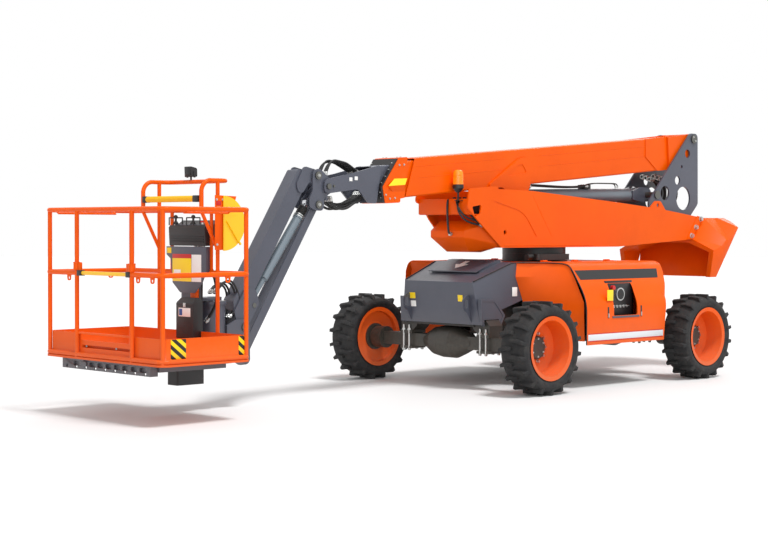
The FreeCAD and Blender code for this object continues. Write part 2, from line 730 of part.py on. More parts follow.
save("base_boom", onBoom(baseBoom()))
save("mid_boom", onBoom(midBoom()))
save("mid_wear_pad", onBoom(midWearPad()))
save("fly_boom", onBoom(flyBoom()))


# cylinders, each from the pin of its barrel to the pin of its rod
def axisPoints(start, end):
    # a function that gives the point at a distance from the start, and the distance between the pins
    length = math.hypot(end[0] - start[0], end[1] - start[1])

    def at(distance):
        share = distance / length
        return (start[0] + (end[0] - start[0]) * share, 0, start[1] + (end[1] - start[1]) * share)

    return at, length


def liftBarrel():
    at, length = axisPoints(liftEye, liftRodPin)
    gland = length - 250
    parts = [rod(at(40), at(gland), 70), crossRod(liftEye, 60, 72), rod(at(gland - 60), at(gland), 78)]
    parts.append(rod(at(90), at(130), 76))
    barrel = fuse(parts).cut(rod(at(160), at(gland + 10), 40 + fit))
    return barrel.cut(crossRod(liftEye, 100, 30 + fit))


def liftRod():
    at, length = axisPoints(liftEye, liftRodPin)
    return fuse([rod(at(220), at(length - 30), 40), crossRod(liftRodPin, 58, 62)])


def liftPins():
    parts = [crossRod(liftEye, 222, 30)] + bothSides(rod((liftEye[0], 215, liftEye[1]),
                                                         (liftEye[0], 227, liftEye[1]), 44))
    return fuse(parts)


save("lift_barrel", liftBarrel())
save("lift_rod", liftRod())
save("turret_pins", Part.makeCompound([pivotPin(), liftPins()]))

# jib; lateral layers from the middle out: cylinder, inner knuckle plates, link bars, jib ears,
# knuckle plates, boom arms
cylinderHalf = 22.0
innerPlates = (28.0, 42.0)
linkBars = (47.0, 60.0)
jibEars = (66.0, 80.0)
knucklePlates = (86.0, 100.0)
jibPinRadius = 20.0
jibCos = math.cos(math.radians(jibAngle))
jibSin = math.sin(math.radians(jibAngle))


def fromPin(pin, along, out):
    # a point along the parked jib from a pin, and out from the line of its pins
    return (pin[0] + jibCos * along + jibSin * out, pin[1] - jibSin * along + jibCos * out)


def jibOutline(pin, points):
    return [fromPin(pin, p[0], p[1]) + tuple(p[2:]) for p in points]


jibFootPin = fromPin(jibPin, jibLength, 0)
linkFootPin = fromPin(linkPin, jibLength, 0)
jibBarrelPin = fromPin(jibPin, jibLength - 210, -5)


def jibKnuckle():
    # outer plates with the levelling, jib and link pins, inner plates for the cylinder's rod,
    # a tube round the levelling pin
    lx, lz = levelPin
    jx, jz = jibPin
    kx, kz = linkPin
    ex, ez = jibRodPin
    outer = [(lx - 58, lz - 50, 50), (lx - 50, lz + 60, 50), (jx - 20, jz + 62, 50), (jx + 58, jz + 40, 50),
             (jx + 62, 1800, 40),
             (ex + 52, 1730, 30), (ex + 50, 1655, 30), (kx + 20, kz - 50, 30), (kx - 60, kz - 52,
                                                                                40), (kx - 66, 1740, 60)]
    inner = [(lx - 30, lz - 30), (lx - 20, lz + 30), (lx + 30, lz + 20), (ex + 20, ez + 34, 30),
             (ex + 38, ez - 30, 30),
             (ex - 30, ez - 38, 30), (kx - 78, kz + 10, 30)]
    parts = bothSides(slabY(outer, *knucklePlates)) + bothSides(slabY(inner, *innerPlates))
    parts += [crossRod(levelPin, 100, 46), box(lx - 12, lx + 12, -100, 100, lz - 120, lz - 30)]
    knuckle = fuse(parts).cut(crossRod(levelPin, 110, 25 + fit))
    for pin in (jibPin, linkPin):
        knuckle = knuckle.cut(crossRod(pin, 110, jibPinRadius + fit))
    return knuckle.cut(crossRod(jibRodPin, 50, jibPinRadius + fit))


def jibPins():
    stub = rod((jibRodPin[0], 27, jibRodPin[1]), (jibRodPin[0], 44, jibRodPin[1]), jibPinRadius)
    return Part.makeCompound([crossRod(jibPin, 106, jibPinRadius),
                              crossRod(linkPin, 106, jibPinRadius)] + bothSides(stub))


def jibBeam():
    # box beam set out from the line of its pins, with ears at both ends; the lower ears also hold
    # the cylinder's barrel
    end = jibLength
    outer = [(70, 50, 30), (20, 110, 20), (66, 195, 30), (end - 130, 195, 40), (end - 56, 140, 30),
             (end - 56, 50, 20)]
    inner = [(130, 58), (130, 187), (end - 150, 187), (end - 150, 58)]
    tube = slabY(jibOutline(jibPin, outer), -jibEars[0] - 1, jibEars[0] + 1)
    tube = tube.cut(slabY(jibOutline(jibPin, inner), -58, 58))
    upperEar = [(-40, -30, 36), (-36, 40, 36), (10, 160, 40), (190, 150, 60), (260, 52, 40), (90, 40, 60),
                (30, -40, 36)]
    lowerEar = [(end + 38, -38, 36), (end + 38, 40, 36), (end - 60, 150, 40), (end - 300, 150, 80),
                (end - 330, 52, 60),
                (end - 255, -43, 40), (end - 150, -43, 60)]
    parts = [tube] + bothSides(slabY(jibOutline(jibPin, upperEar), *jibEars))
    parts += bothSides(slabY(jibOutline(jibPin, lowerEar), *jibEars))
    beam = fuse(parts)
    for pin in (jibPin, jibFootPin, jibBarrelPin):
        beam = beam.cut(crossRod(pin, 100, jibPinRadius + fit))
    return beam


def jibLink():
    # two flat bars below the jib, tied together near the foot, that keep the platform's head parallel
    end = jibLength
    outline = [(-38, -37, 36), (-38, 37, 36), (end + 38, 37, 36), (end + 38, -37, 36)]
    bar = slabY(jibOutline(linkPin, outline), *linkBars)
    strip = [(end - 170, -37), (end - 170, -27), (end - 70, -27), (end - 70, -37)]
    tie = slabY(jibOutline(linkPin, strip), -linkBars[0], linkBars[0])
    link = fuse(bothSides(bar) + [tie])
    for pin in (linkPin, linkFootPin):
        link = link.cut(crossRod(pin, 100, jibPinRadius + fit))
    return link


def jibBarrel():
    at, length = axisPoints(jibRodPin, jibBarrelPin)
    parts = [rod(at(150), at(length - 270), 40), rod(at(length - 275), at(length - 20), 27),
             crossRod(jibBarrelPin, 40, 34),
             rod(at(150), at(175), 44)]
    barrel = fuse(parts).cut(rod(at(140), at(length - 300), jibPinRadius + fit))
    return barrel.cut(crossRod(jibBarrelPin, 70, jibPinRadius + fit))


def jibRod():
    at, length = axisPoints(jibRodPin, jibBarrelPin)
    return fuse([rod(at(0), at(length - 330), jibPinRadius), rod(at(52), at(138), 36),
                 crossRod(jibRodPin, cylinderHalf, 28)])


save("jib_knuckle", jibKnuckle())
save("level_pin", crossRod(levelPin, 136, 25))
save("jib_pins", jibPins())
save("jib_beam", jibBeam())
save("jib_barrel_pin", crossRod(jibBarrelPin, 84, jibPinRadius))
save("jib_link", jibLink())
save("jib_barrel", jibBarrel())
save("jib_rod", jibRod())

# head at the jib's foot, and what turns on it
rotatorRadius = 108.0
rotatorLow = 372.0
rotatorHigh = 884.0
shaftRadius = 40.0
uprightX = (4205.0, 4275.0)


def jibHead():
    # side plates on the jib's and link's foot pins, webbed to the rotary actuator's housing
    cx, cz = jibFootPin
    dx, dz = linkFootPin
    webX = rotatorX - rotatorRadius
    outline = [(cx - 52, cz - 20, 50), (cx - 52, cz + 62, 50), (cx + 90, cz + 66, 60), (webX + 30, cz + 20),
               (webX + 30, dz + 10),
               (dx + 60, dz - 62, 50), (dx - 52, dz - 58, 50)]
    plates = bothSides(slabY(outline, *knucklePlates))
    web = box(webX - 8, webX + 30, -knucklePlates[1], knucklePlates[1], dz + 10, cz + 20)
    housing = rod((rotatorX, 0, rotatorLow), (rotatorX, 0, rotatorHigh), rotatorRadius)
    flanges = [rod((rotatorX, 0, z), (rotatorX, 0, z + 26), rotatorRadius + 10) for z in (rotatorLow,
                                                                                          rotatorHigh - 26)]
    head = fuse(plates + [web, housing] + flanges)
    head = head.cut(rod((rotatorX, 0, 300), (rotatorX, 0, 1000), shaftRadius + fit))
    for pin in (jibFootPin, linkFootPin):
        head = head.cut(crossRod(pin, 110, jibPinRadius + fit))
    return head


def headPins():
    return Part.makeCompound([crossRod(pin, 106, jibPinRadius) for pin in (jibFootPin, linkFootPin)])


save("jib_head", jibHead())
save("head_pins", headPins())

# platform
floorTop = bottomRailZ - railRadius
floorPlate = 16.0
beamLow = 392.0
channelX = (4965.0, 5035.0)
channelHoles = 9
postRadius = 17.5
toeTop = 660.0
gateY = (-292.0, 441.0)
hoopY = (-335.0, 430.0)
hoopFrontX = 4470.0
hoopRearX = 4190.0
hoopZ = 1850.0
cornerBend = 60.0
cornerSteps = 4
anchorRadius = 12.0
anchorPlate = 8.0
anchorZ = midRailZ - 41
anchorSideX = 4520.0


def platformSupport():
    # shaft through the actuator, arms above and below it, the upright, and the beams under the floor
    floorUnder = floorTop - floorPlate
    parts = [rod((rotatorX, 0, 340), (rotatorX, 0, 920), shaftRadius)]
    for z in (rotatorLow - 34, rotatorHigh + 6):
        plan = [(rotatorX - 75, -75, 70), (uprightX[0] + 1, -85), (uprightX[0] + 1, 85),
                (rotatorX - 75, 75, 70)]
        parts.append(slabZ(plan, z, z + 28))
    parts.append(box(uprightX[0], uprightX[1], -85, 85, 338, 1090))
    parts.append(box(uprightX[1] - 1, channelX[0] + 1, -60, 60, beamLow, floorUnder))
    parts.append(box(4330, 4400, -600, 560, beamLow, floorUnder))
    parts += [box(4399, channelX[0] + 1, y, y + 60, beamLow, floorUnder) for y in (-600, 500)]
    channel = box(channelX[0], channelX[1], -645, 540, 362, floorUnder)
    channel = channel.cut(box(channelX[0] - 1, channelX[1] - 8, -640, 535, 352, beamLow - 8))
    pitch = 1185.0 / channelHoles
    for i in range(channelHoles):
        y = -645 + (i + 0.5) * pitch
        channel = channel.cut(rod((channelX[1] - 20, y, 382), (channelX[1] + 1, y, 382), 14))
    return fuse(parts + [channel])


def loadCell():
    return slabZ([(4160, -70, 15), (4430, -70, 15), (4430, 70, 15), (4160, 70, 15)], 222, 338)


def platformFloor():
    # deck plate out to the bottom rail, and the toe boards standing inside it
    x0, x1 = platformX
    y0, y1 = platformY
    reach = railRadius
    plan = [(x0 - reach, y0 - reach, 76), (x1 + reach, y0 - reach, 76), (x1 + reach, y1 + reach, 76),
            (x0 - reach, y1 + reach, 76)]
    plate = slabZ(plan, floorTop - floorPlate, floorTop)
    gap = railRadius + 1

    def ring(inset):
        corner = cornerBend - inset
        return [(x0 + inset, y0 + inset, corner), (x1 - inset, y0 + inset, corner),
                (x1 - inset, y1 - inset, corner),
                (x0 + inset, y1 - inset, corner)]

    toe = slabZ(ring(gap), floorTop - 1, toeTop).cut(slabZ(ring(gap + 4), floorTop - 2, toeTop + 1))
    return fuse([plate, toe])


def railLoop(z, gap):
    # one rail round the platform, closed or open between the gate's posts
    x0, x1 = platformX
    y0, y1 = platformY
    start, end = gateY if gap else (0, 0)
    route = [(x1, start, z), (x1, y0, z), (x0, y0, z), (x0, y1, z), (x1, y1, z), (x1, end, z)]
    return mitredTube(cornerCuts(route, cornerBend, cornerSteps), railRadius)


def hoops():
    # one continuous tube: up from the front legs, back over the console and across behind it,
    # with rear legs and braces
    x0 = platformX[0]
    foot = 1600.0
    route = [(hoopFrontX, hoopY[0], foot), (hoopFrontX, hoopY[0], hoopZ), (hoopRearX, hoopY[0], hoopZ),
             (hoopRearX, hoopY[1], hoopZ), (hoopFrontX, hoopY[1], hoopZ), (hoopFrontX, hoopY[1], foot)]
    parts = [mitredTube(cornerCuts(route, 90, 6), postRadius)]
    for y in hoopY:
        parts.append(rod((x0, y, floorTop), (x0, y, hoopZ), 16))
        parts.append(rod((x0, y, 1310), (hoopFrontX, y, foot + 8), 14))
    return parts


def anchorLugs():
    # eye plates under the middle rail for a harness line
    lugs = []
    for y in (-400, 520, 700):
        outline = [(y - 26, midRailZ - 8), (y + 26, midRailZ - 8), (y + 20, midRailZ - 62, 18),
                   (y - 20, midRailZ - 62, 18)]
        plate = slabX(outline, platformX[1] - anchorPlate / 2, platformX[1] + anchorPlate / 2)
        lugs.append(plate.cut(rod((platformX[1] - 20, y, anchorZ), (platformX[1] + 20, y, anchorZ),
                                  anchorRadius)))
    for y in platformY:
        x = anchorSideX
        outline = [(x - 26, midRailZ - 8), (x + 26, midRailZ - 8), (x + 20, midRailZ - 62, 18),
                   (x - 20, midRailZ - 62, 18)]
        plate = slabY(outline, y - anchorPlate / 2, y + anchorPlate / 2)
        lugs.append(plate.cut(rod((x, y - 20, anchorZ), (x, y + 20, anchorZ), anchorRadius)))
    return lugs


def guardrails():
    x0, x1 = platformX
    y0, y1 = platformY
    tuck = cornerBend * (1 - math.sqrt(0.5))
    parts = [railLoop(bottomRailZ, False), railLoop(topRailZ, False), railLoop(midRailZ, True)]
    posts = [(x0 + tuck, y0 + tuck), (x1 - tuck, y0 + tuck), (x1 - tuck, y1 - tuck), (x0 + tuck, y1 - tuck)]
    posts += [(x1, y) for y in gateY]
    parts += [rod((x, y, floorTop), (x, y, topRailZ), postRadius) for x, y in posts]
    parts.append(rod((x0, 163, floorTop), (x0, 163, midRailZ), postRadius))
    for y, start, end in ((y1, 4480, 4890), (y0, 4510, 5050)):
        inner = y - math.copysign(48, y)
        route = [(start, y, topRailZ), (start, inner, topRailZ - 26), (end, inner, topRailZ - 26),
                 (end, y, topRailZ)]
        parts.append(mitredTube(route, 8))
    return fuse(parts + hoops() + anchorLugs())


def gateBar():
    # drop bar that slides up the gate's posts on a sleeve at each end
    x = platformX[1]
    sleeve = postRadius + 0.4
    parts = [rod((x, gateY[0] + 24, midRailZ), (x, gateY[1] - 24, midRailZ), 15)]
    for y in gateY:
        parts.append(rod((x, y, midRailZ + 24), (x, y, midRailZ + 84), sleeveRadius))
    for y in (gateY[0] + 22, gateY[1] - 60):
        parts.append(box(x - 10, x + 10, y, y + 38, midRailZ - 14, midRailZ + 84))
    bar = fuse(parts)
    for y in gateY:
        bar = bar.cut(rod((x, y, 500), (x, y, 1600), sleeve))
        bar = bar.cut(box(x - 30, x + 30, y - 22, y + 22, midRailZ - 30, midRailZ + 23.9))
    return bar


def controlConsole():
    # rear-hung control box with a sloped lip, two joysticks and a row of switches' raised panel
    side = [(4190, 1340, 10), (4360, 1336), (4364, 1470), (4330, 1502, 12), (4200, 1502, 12)]
    parts = [slabY(side, -130, 230), box(4225, 4320, -100, 200, 1501, 1508)]
    for y in (-60, 160):
        parts.append(rod((4272, y, 1507), (4272, y, 1522), 26))
        parts.append(rod((4272, y, 1520), (4276, y, 1575), 8))
        parts.append(rod((4276, y, 1565), (4276, y, 1592), 16))
    return fuse(parts)


def consoleStand():
    # flat bars on the rails' inner side that carry the console, its grey shield and the document box
    x = platformX[0] + railRadius
    bars = [box(x, x + 12, y0, y1, midRailZ - 20, topRailZ + 12) for y0,
            y1 in ((-156, -130.2), (230.2, 270))]
    bars.append(box(x, x + 12, -156, 270, 1160, 1210))
    bars.append(box(x, x + 12, 0, 80, toeTop + 2, 1200))
    return fuse(bars)


def consoleShield():
    # bent sheet below the console: a tapered face with side flanges back to the bars
    rear = platformX[0] + railRadius + 12
    front = 4360.0
    face = slabX([(-156, 1325), (270, 1325), (270, 1046), (225, 963, 12), (-111, 963, 12), (-156, 1046)],
                 front - 3, front)
    flanges = [box(rear, front - 2, y, y + 3, 1046, 1325) for y in (-156, 267)]
    return fuse([face] + flanges)


def documentBox():
    rear = platformX[0] + railRadius + 12
    side = [(rear, 600), (rear + 95, 600, 12), (rear + 95, 880), (rear + 60, 924), (rear, 924)]
    return slabY(side, -100, 180)


def guardDisc():
    # half-round guard plate on the top rail with its rib
    x = platformX[0]
    rim = rod((x, 498, 1515), (x, 504, 1515), 215).cut(box(x, x + 300, 400, 600, 1200, 1800))
    rib = slabY([(4286, 1534), (4276, 1526), (4138, 1352), (4150, 1344)], 504, 516)
    disc = rim.fuse(rib).cut(rod((x, 400, topRailZ), (x, 600, topRailZ), railRadius))
    return disc.removeSplitter()


def paddedBar():
    # soft yellow bar across the front of the hoops, on dark end pieces
    z = 1706.0
    y0 = hoopY[0] + postRadius
    y1 = hoopY[1] - postRadius
    bar = rod((hoopFrontX, y0, z), (hoopFrontX, y1, z), 12)
    return bar.fuse(rod((hoopFrontX, y0 + 22, z), (hoopFrontX, y1 - 60, z), 25))


def workLamp():
    z = hoopZ + postRadius
    return rod((hoopRearX, -150, z), (hoopRearX, -150, z + 22),
               7).fuse(box(hoopRearX - 28, hoopRearX + 28, -190, -110, z + 20, z + 70))


save("platform_support", platformSupport())
save("load_cell", loadCell())
save("platform_floor", platformFloor())
save("guardrails", guardrails())
save("gate_bar", gateBar())
save("control_console", controlConsole())
save("console_stand", consoleStand())
save("console_shield", consoleShield())
save("document_box", documentBox())
save("guard_disc", guardDisc())
save("padded_bar", paddedBar())
save("work_lamp", workLamp())
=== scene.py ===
import bpy
import bmesh
import math
from mathutils import Matrix, Vector


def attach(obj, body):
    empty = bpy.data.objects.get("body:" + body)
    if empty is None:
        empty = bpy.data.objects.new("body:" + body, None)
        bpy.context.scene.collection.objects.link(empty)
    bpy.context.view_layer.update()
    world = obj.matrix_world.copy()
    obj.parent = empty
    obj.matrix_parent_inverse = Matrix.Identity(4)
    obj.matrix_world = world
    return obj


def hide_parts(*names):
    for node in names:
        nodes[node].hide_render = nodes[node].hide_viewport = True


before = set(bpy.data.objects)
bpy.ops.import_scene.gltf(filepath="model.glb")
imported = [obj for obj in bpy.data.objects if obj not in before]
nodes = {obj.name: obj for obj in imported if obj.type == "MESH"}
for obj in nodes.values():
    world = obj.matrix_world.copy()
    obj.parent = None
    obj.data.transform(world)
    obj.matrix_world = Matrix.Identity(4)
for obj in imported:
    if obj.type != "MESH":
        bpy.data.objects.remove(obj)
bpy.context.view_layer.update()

slewX = -1.169  # pieces are drawn about the slewing axis, then moved to the frame's origin


def linked(name, data):
    obj = bpy.data.objects.new(name, data)
    bpy.context.collection.objects.link(obj)
    return obj


def aimed(direction):
    # the turn that points a camera or a lamp along this direction
    return direction.to_track_quat("-Z", "Y").to_matrix().to_4x4()


# camera
camera = {"place": (12.076, 10.267, 1.475), "yaw": 3.94, "pitch": 0.0246, "roll": 0.0025, "lens": 74.65}


def makeCamera():
    data = bpy.data.cameras.new("camera")
    data.lens, data.sensor_width = camera["lens"], 36
    obj = linked("camera", data)
    yaw, pitch = camera["yaw"], camera["pitch"]
    look = Vector((math.cos(yaw) * math.cos(pitch), math.sin(yaw) * math.cos(pitch), -math.sin(pitch)))
    place = Vector(camera["place"]) + Vector((slewX, 0, 0))
    obj.matrix_world = Matrix.Translation(place) @ aimed(look) @ Matrix.Rotation(camera["roll"], 4, "Z")
    bpy.context.scene.camera = obj


makeCamera()
print("camera set")


# materials
def hexColour(text):
    out = []
    for i in (1, 3, 5):
        c = int(text[i:i + 2], 16) / 255
        out.append(c / 12.92 if c <= 0.04045 else ((c + 0.055) / 1.055) ** 2.4)
    return (*out, 1)


def addNode(mat, kind, settings=None, links=()):
    # settings are properties or input values by name, links are (input, other node, its output)
    node = mat.node_tree.nodes.new(kind)
    for key, value in (settings or {}).items():
        if hasattr(node, key):
            setattr(node, key, value)
        else:
            node.inputs[key].default_value = value
    for key, other, output in links:
        mat.node_tree.links.new(other.outputs[output], node.inputs[key])
    return node


def newMaterial(name, colour, rough, more=None):
    mat = bpy.data.materials.new(name)
    mat.use_nodes = True
    shader = mat.node_tree.nodes["Principled BSDF"]
    for key, value in {"Base Color": hexColour(colour), "Roughness": rough, **(more or {})}.items():
        shader.inputs[key].default_value = value
    mat.diffuse_color = hexColour(colour)
    return mat, shader, addNode(mat, "ShaderNodeTexCoord")


def noise(mat, place, scale, detail, rough=0.5):
    settings = {"Scale": scale, "Detail": detail, "Roughness": rough}
    return addNode(mat, "ShaderNodeTexNoise", settings, [("Vector", place, "Object")])


def ramp(mat, source, output, fromLow, fromHigh, toLow=0.0, toHigh=1.0):
    ends = {"From Min": fromLow, "From Max": fromHigh, "To Min": toLow, "To Max": toHigh}
    return addNode(mat, "ShaderNodeMapRange", ends, [("Value", source, output)])


def blend(mat, share, output, low, high):
    # a mix of two colours; the low one is a hex text or another mix
    node = addNode(mat, "ShaderNodeMix", {"data_type": "RGBA"}, [(0, share, output)])
    if isinstance(low, str):
        node.inputs[6].default_value = hexColour(low)
    else:
        mat.node_tree.links.new(low.outputs[2], node.inputs[6])
    node.inputs[7].default_value = hexColour(high)
    return node


def relief(mat, shader, height, strength, distance):
    size = {"Strength": strength, "Distance": distance}
    bump = addNode(mat, "ShaderNodeBump", size, [("Height", height, "Fac")])
    mat.node_tree.links.new(bump.outputs["Normal"], shader.inputs["Normal"])


def enamel(name, colour, shade, rough, more=None, peel=0.03):
    # sprayed enamel on steel plate: even colour, slight orange peel, a little road dust low down
    mat, shader, place = newMaterial(name, colour, rough, more)
    patch = ramp(mat, noise(mat, place, 2.3, 6.0, 0.62), "Fac", 0.35, 0.75)
    tone = blend(mat, patch, "Result", colour, shade)
    height = addNode(mat, "ShaderNodeSeparateXYZ", None, [("Vector", place, "Object")])
    low = ramp(mat, height, "Z", 0.15, 0.75, 0.5, 0.0)
    speck = noise(mat, place, 38.0, 8.0, 0.7)
    film = addNode(mat, "ShaderNodeMath", {"operation": "MULTIPLY"}, [(0, low, "Result"), (1, speck, "Fac")])
    dirty = blend(mat, film, "Value", tone, "#8c8272")
    worn = ramp(mat, speck, "Fac", 0.3, 0.8, rough - 0.04, rough + 0.12)
    mat.node_tree.links.new(dirty.outputs[2], shader.inputs["Base Color"])
    mat.node_tree.links.new(worn.outputs["Result"], shader.inputs["Roughness"])
    # spray texture about 9 mm across, drawn coarser than life so that it shows
    relief(mat, shader, noise(mat, place, 111.1, 2.0), peel, 0.002)
    return mat


def vulcanisedRubber():
    # carbon-black tyre rubber: matt, fine mould grain, pale dust on the lugs' tops and in the grooves
    mat, shader, place = newMaterial("vulcanised_tyre_rubber", "#1a1a1c", 0.78)
    dust = ramp(mat, noise(mat, place, 14.0, 8.0, 0.7), "Fac", 0.45, 0.8, 0.0, 0.45)
    tone = blend(mat, dust, "Result", "#1a1a1c", "#4b4843")
    mat.node_tree.links.new(tone.outputs[2], shader.inputs["Base Color"])
    relief(mat, shader, noise(mat, place, 420.0, 3.0), 0.2, 0.001)
    return mat


def grained(name, colour, rough, scale, strength, more=None, distance=0.0008, detail=4.0):
    # one colour with a fine surface relief
    mat, shader, place = newMaterial(name, colour, rough, more)
    relief(mat, shader, noise(mat, place, scale, detail), strength, distance)
    return mat


def hazardTape(name, turn):
    # black and yellow printed stripes, slanted across the plate
    mat, shader, place = newMaterial(name, "#fbd000", 0.35)
    lie = addNode(mat, "ShaderNodeMapping", {"Rotation": turn}, [("Vector", place, "Object")])
    wave = {"bands_direction": "X", "wave_profile": "SIN", "Scale": 5.6}
    bands = addNode(mat, "ShaderNodeTexWave", wave, [("Vector", lie, "Vector")])
    tone = blend(mat, ramp(mat, bands, "Fac", 0.46, 0.54), "Result", "#121212", "#fbd000")
    mat.node_tree.links.new(tone.outputs[2], shader.inputs["Base Color"])
    return mat


orange = enamel("orange_enamel_on_steel", "#ee5b00", "#e35400", 0.36,
                {"Coat Weight": 0.05, "Coat Roughness": 0.15, "Specular IOR Level": 0.14})
grey = enamel("blue_grey_enamel_on_steel", "#4d505c", "#454853", 0.4,
              {"Coat Weight": 0.15, "Coat Roughness": 0.2})
black = enamel("black_chassis_enamel", "#171716", "#1f1e1d", 0.42, None, 0.06)
yellow = enamel("yellow_safety_enamel", "#fcc800", "#f2bb00", 0.32, {"Coat Weight": 0.2})
paleGrey = enamel("pale_blue_grey_cylinder_enamel", "#77838c", "#6d7982", 0.35)
tyreRubber = vulcanisedRubber()
metal = {"Metallic": 1.0}
iron = grained("painted_cast_iron", "#232322", 0.6, 240, 0.35, None, 0.002, 5.0)
chrome = grained("hard_chrome_plate", "#d6d8dc", 0.12, 300, 0.03, metal)
zinc = grained("zinc_plated_steel", "#c3c4c2", 0.34, 500, 0.1, metal)
pinSteel = grained("turned_pin_steel", "#6f6f6b", 0.42, 420, 0.12, metal)
hoseRubber = grained("hydraulic_hose_rubber", "#1a1a1b", 0.55, 700, 0.2)
plastic = grained("moulded_black_abs", "#1d1b1c", 0.46, 800, 0.25)
foam = grained("yellow_foam_sleeve", "#f6b916", 0.8, 180, 0.35, None, 0.002)
# moulded acrylic lens over a lamp, ribbed inside
amber = grained("amber_acrylic_lens", "#ffa41c", 0.12, 90, 0.2,
                {"Transmission Weight": 0.45, "IOR": 1.49, "Emission Color": hexColour("#ff7a00"),
                 "Emission Strength": 0.25})
# printed vinyl: flat colour, low gloss
inks = {"white": "#f1f1ee", "yellow": "#fbd71c", "red": "#c41f1c", "blue": "#1d4f9c", "black": "#0d0d0e",
        "silver": "#d9dce0"}
vinyl = {key: grained(key + "_vinyl_label", ink, 0.38, 300, 0.03) for key, ink in inks.items()}
hazardSide = hazardTape("hazard_stripe_vinyl_side", (0, math.radians(-52), 0))
hazardEnd = hazardTape("hazard_stripe_vinyl_end", (math.radians(40), 0, math.radians(90)))

finishes = (
    (orange, "left_cover right_cover side_bays turret_frame turret_plates turret_nose counterweight "
             "base_boom mid_boom platform_floor guardrails console_stand rim_front_left rim_front_right "
             "rim_rear_left rim_rear_right"),
    (grey, "hoods upright_plates fly_boom jib_knuckle jib_beam jib_link jib_head platform_support "
           "console_shield"),
    (black, "axle_beams knuckle_left knuckle_right chassis_frame slew_ring tie_rods valve_block fluid_tanks "
            "hub_front_left hub_front_right hub_rear_left hub_rear_right"),
    (plastic, "control_console document_box mid_wear_pad load_cell work_lamp"),
    (yellow, "gate_bar guard_disc"), (foam, "padded_bar"), (iron, "engine_block"), (amber, "beacon"),
    (paleGrey, "lift_barrel jib_barrel"), (chrome, "lift_rod jib_rod"),
    (pinSteel, "turret_pins level_pin jib_pins head_pins jib_barrel_pin"),
)
for mat, names in finishes:
    for name in names.split():
        nodes[name].data.materials.clear()
        nodes[name].data.materials.append(mat)
print("materials assigned")


# shape helpers
def finishPiece(name, bm, body, mats, smooth=30, replaces=None):
    # one mesh object in the frame, riding on a body, with the given materials in order
    bmesh.ops.remove_doubles(bm, verts=bm.verts, dist=0.00001)
    bmesh.ops.recalc_face_normals(bm, faces=bm.faces)
    bmesh.ops.translate(bm, vec=(slewX, 0, 0), verts=bm.verts)
    mesh = bpy.data.meshes.new(name)
    bm.to_mesh(mesh)
    bm.free()
    for polygon in mesh.polygons:
        polygon.use_smooth = True
    mesh.set_sharp_from_angle(angle=math.radians(smooth))
    obj = linked(name, mesh)
    mats = mats if isinstance(mats, list) else [mats]
    for mat in mats:
        mesh.materials.append(mat)
    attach(obj, body)
    if replaces:
        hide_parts(replaces)
    return obj


def sideName(side):
    return "left" if side > 0 else "right"


def barBetween(bm, a, b, r, r2=None, sides=20, index=0):
    a, b = Vector(a), Vector(b)
    axis = b - a
    turn = axis.to_track_quat("Z", "Y").to_matrix().to_4x4()
    place = Matrix.Translation((a + b) / 2) @ turn
    made = bmesh.ops.create_cone(bm, cap_ends=True, segments=sides, radius1=r,
                                 radius2=r if r2 is None else r2, depth=axis.length, matrix=place)
    for face in {f for v in made["verts"] for f in v.link_faces}:
        face.material_index = index


def bevelEdges(bm, edges, offset, segments=2, clamp=False):
    return bmesh.ops.bevel(bm, geom=edges, offset=offset, affect="EDGES", segments=segments, profile=0.5,
                           material=-1, clamp_overlap=clamp)


def blockAt(bm, low, high, edge=0.002, index=0):
    # a block with its edges eased
    low, high = Vector(low), Vector(high)
    place = Matrix.Translation((low + high) / 2) @ Matrix.Diagonal((*(high - low), 1))
    verts = bmesh.ops.create_cube(bm, size=1, matrix=place)["verts"]
    for face in {f for v in verts for f in v.link_faces}:
        face.material_index = index
    if edge:
        bevelEdges(bm, list({e for v in verts for e in v.link_edges}), edge)


def hexBolt(bm, centre, axis, across, height, index=0, washer=True):
    # hexagon head on a washer, standing out along the axis
    centre, axis = Vector(centre), Vector(axis)
    if washer:
        barBetween(bm, centre, centre + axis * 0.003, across * 0.68, sides=20, index=index)
    barBetween(bm, centre, centre + axis * height, across * 0.56, across * 0.53, sides=6, index=index)


def outlinePlate(bm, points, thickness, index=0):
    # points are corners in order; the plate is drawn out along a vector
    verts = [bm.verts.new(p) for p in points]
    made = bmesh.ops.extrude_face_region(bm, geom=[bm.faces.new(verts)])
    top = [v for v in made["geom"] if isinstance(v, bmesh.types.BMVert)]
    bmesh.ops.translate(bm, vec=thickness, verts=top)
    for face in {f for v in verts + top for f in v.link_faces}:
        face.material_index = index
    return verts, top


def spunRing(bm, profile, centre, axis, steps):
    # a profile of corners turned once round the axis
    verts = [bm.verts.new(p) for p in profile]
    edges = [bm.edges.new(ends) for ends in zip(verts[:-1], verts[1:])]
    bmesh.ops.spin(bm, geom=verts + edges, cent=centre, axis=axis, angle=math.tau, steps=steps,
                   use_merge=True)


def smoothTube(bm, points, r):
    # a tube on its own smooth curve through the route
    curve = bpy.data.curves.new("route", "CURVE")
    curve.dimensions, curve.use_fill_caps = "3D", True
    curve.bevel_depth, curve.bevel_resolution, curve.resolution_u = r, 3, 8
    spline = curve.splines.new("NURBS")
    spline.points.add(len(points) - 1)
    for target, p in zip(spline.points, points):
        target.co = (*p, 1)
    spline.order_u = 3
    spline.use_endpoint_u = True
    holder = bpy.data.objects.new("route", curve)
    mesh = bpy.data.meshes.new_from_object(holder)
    bm.from_mesh(mesh)
    bpy.data.objects.remove(holder)
    bpy.data.curves.remove(curve)
    bpy.data.meshes.remove(mesh)


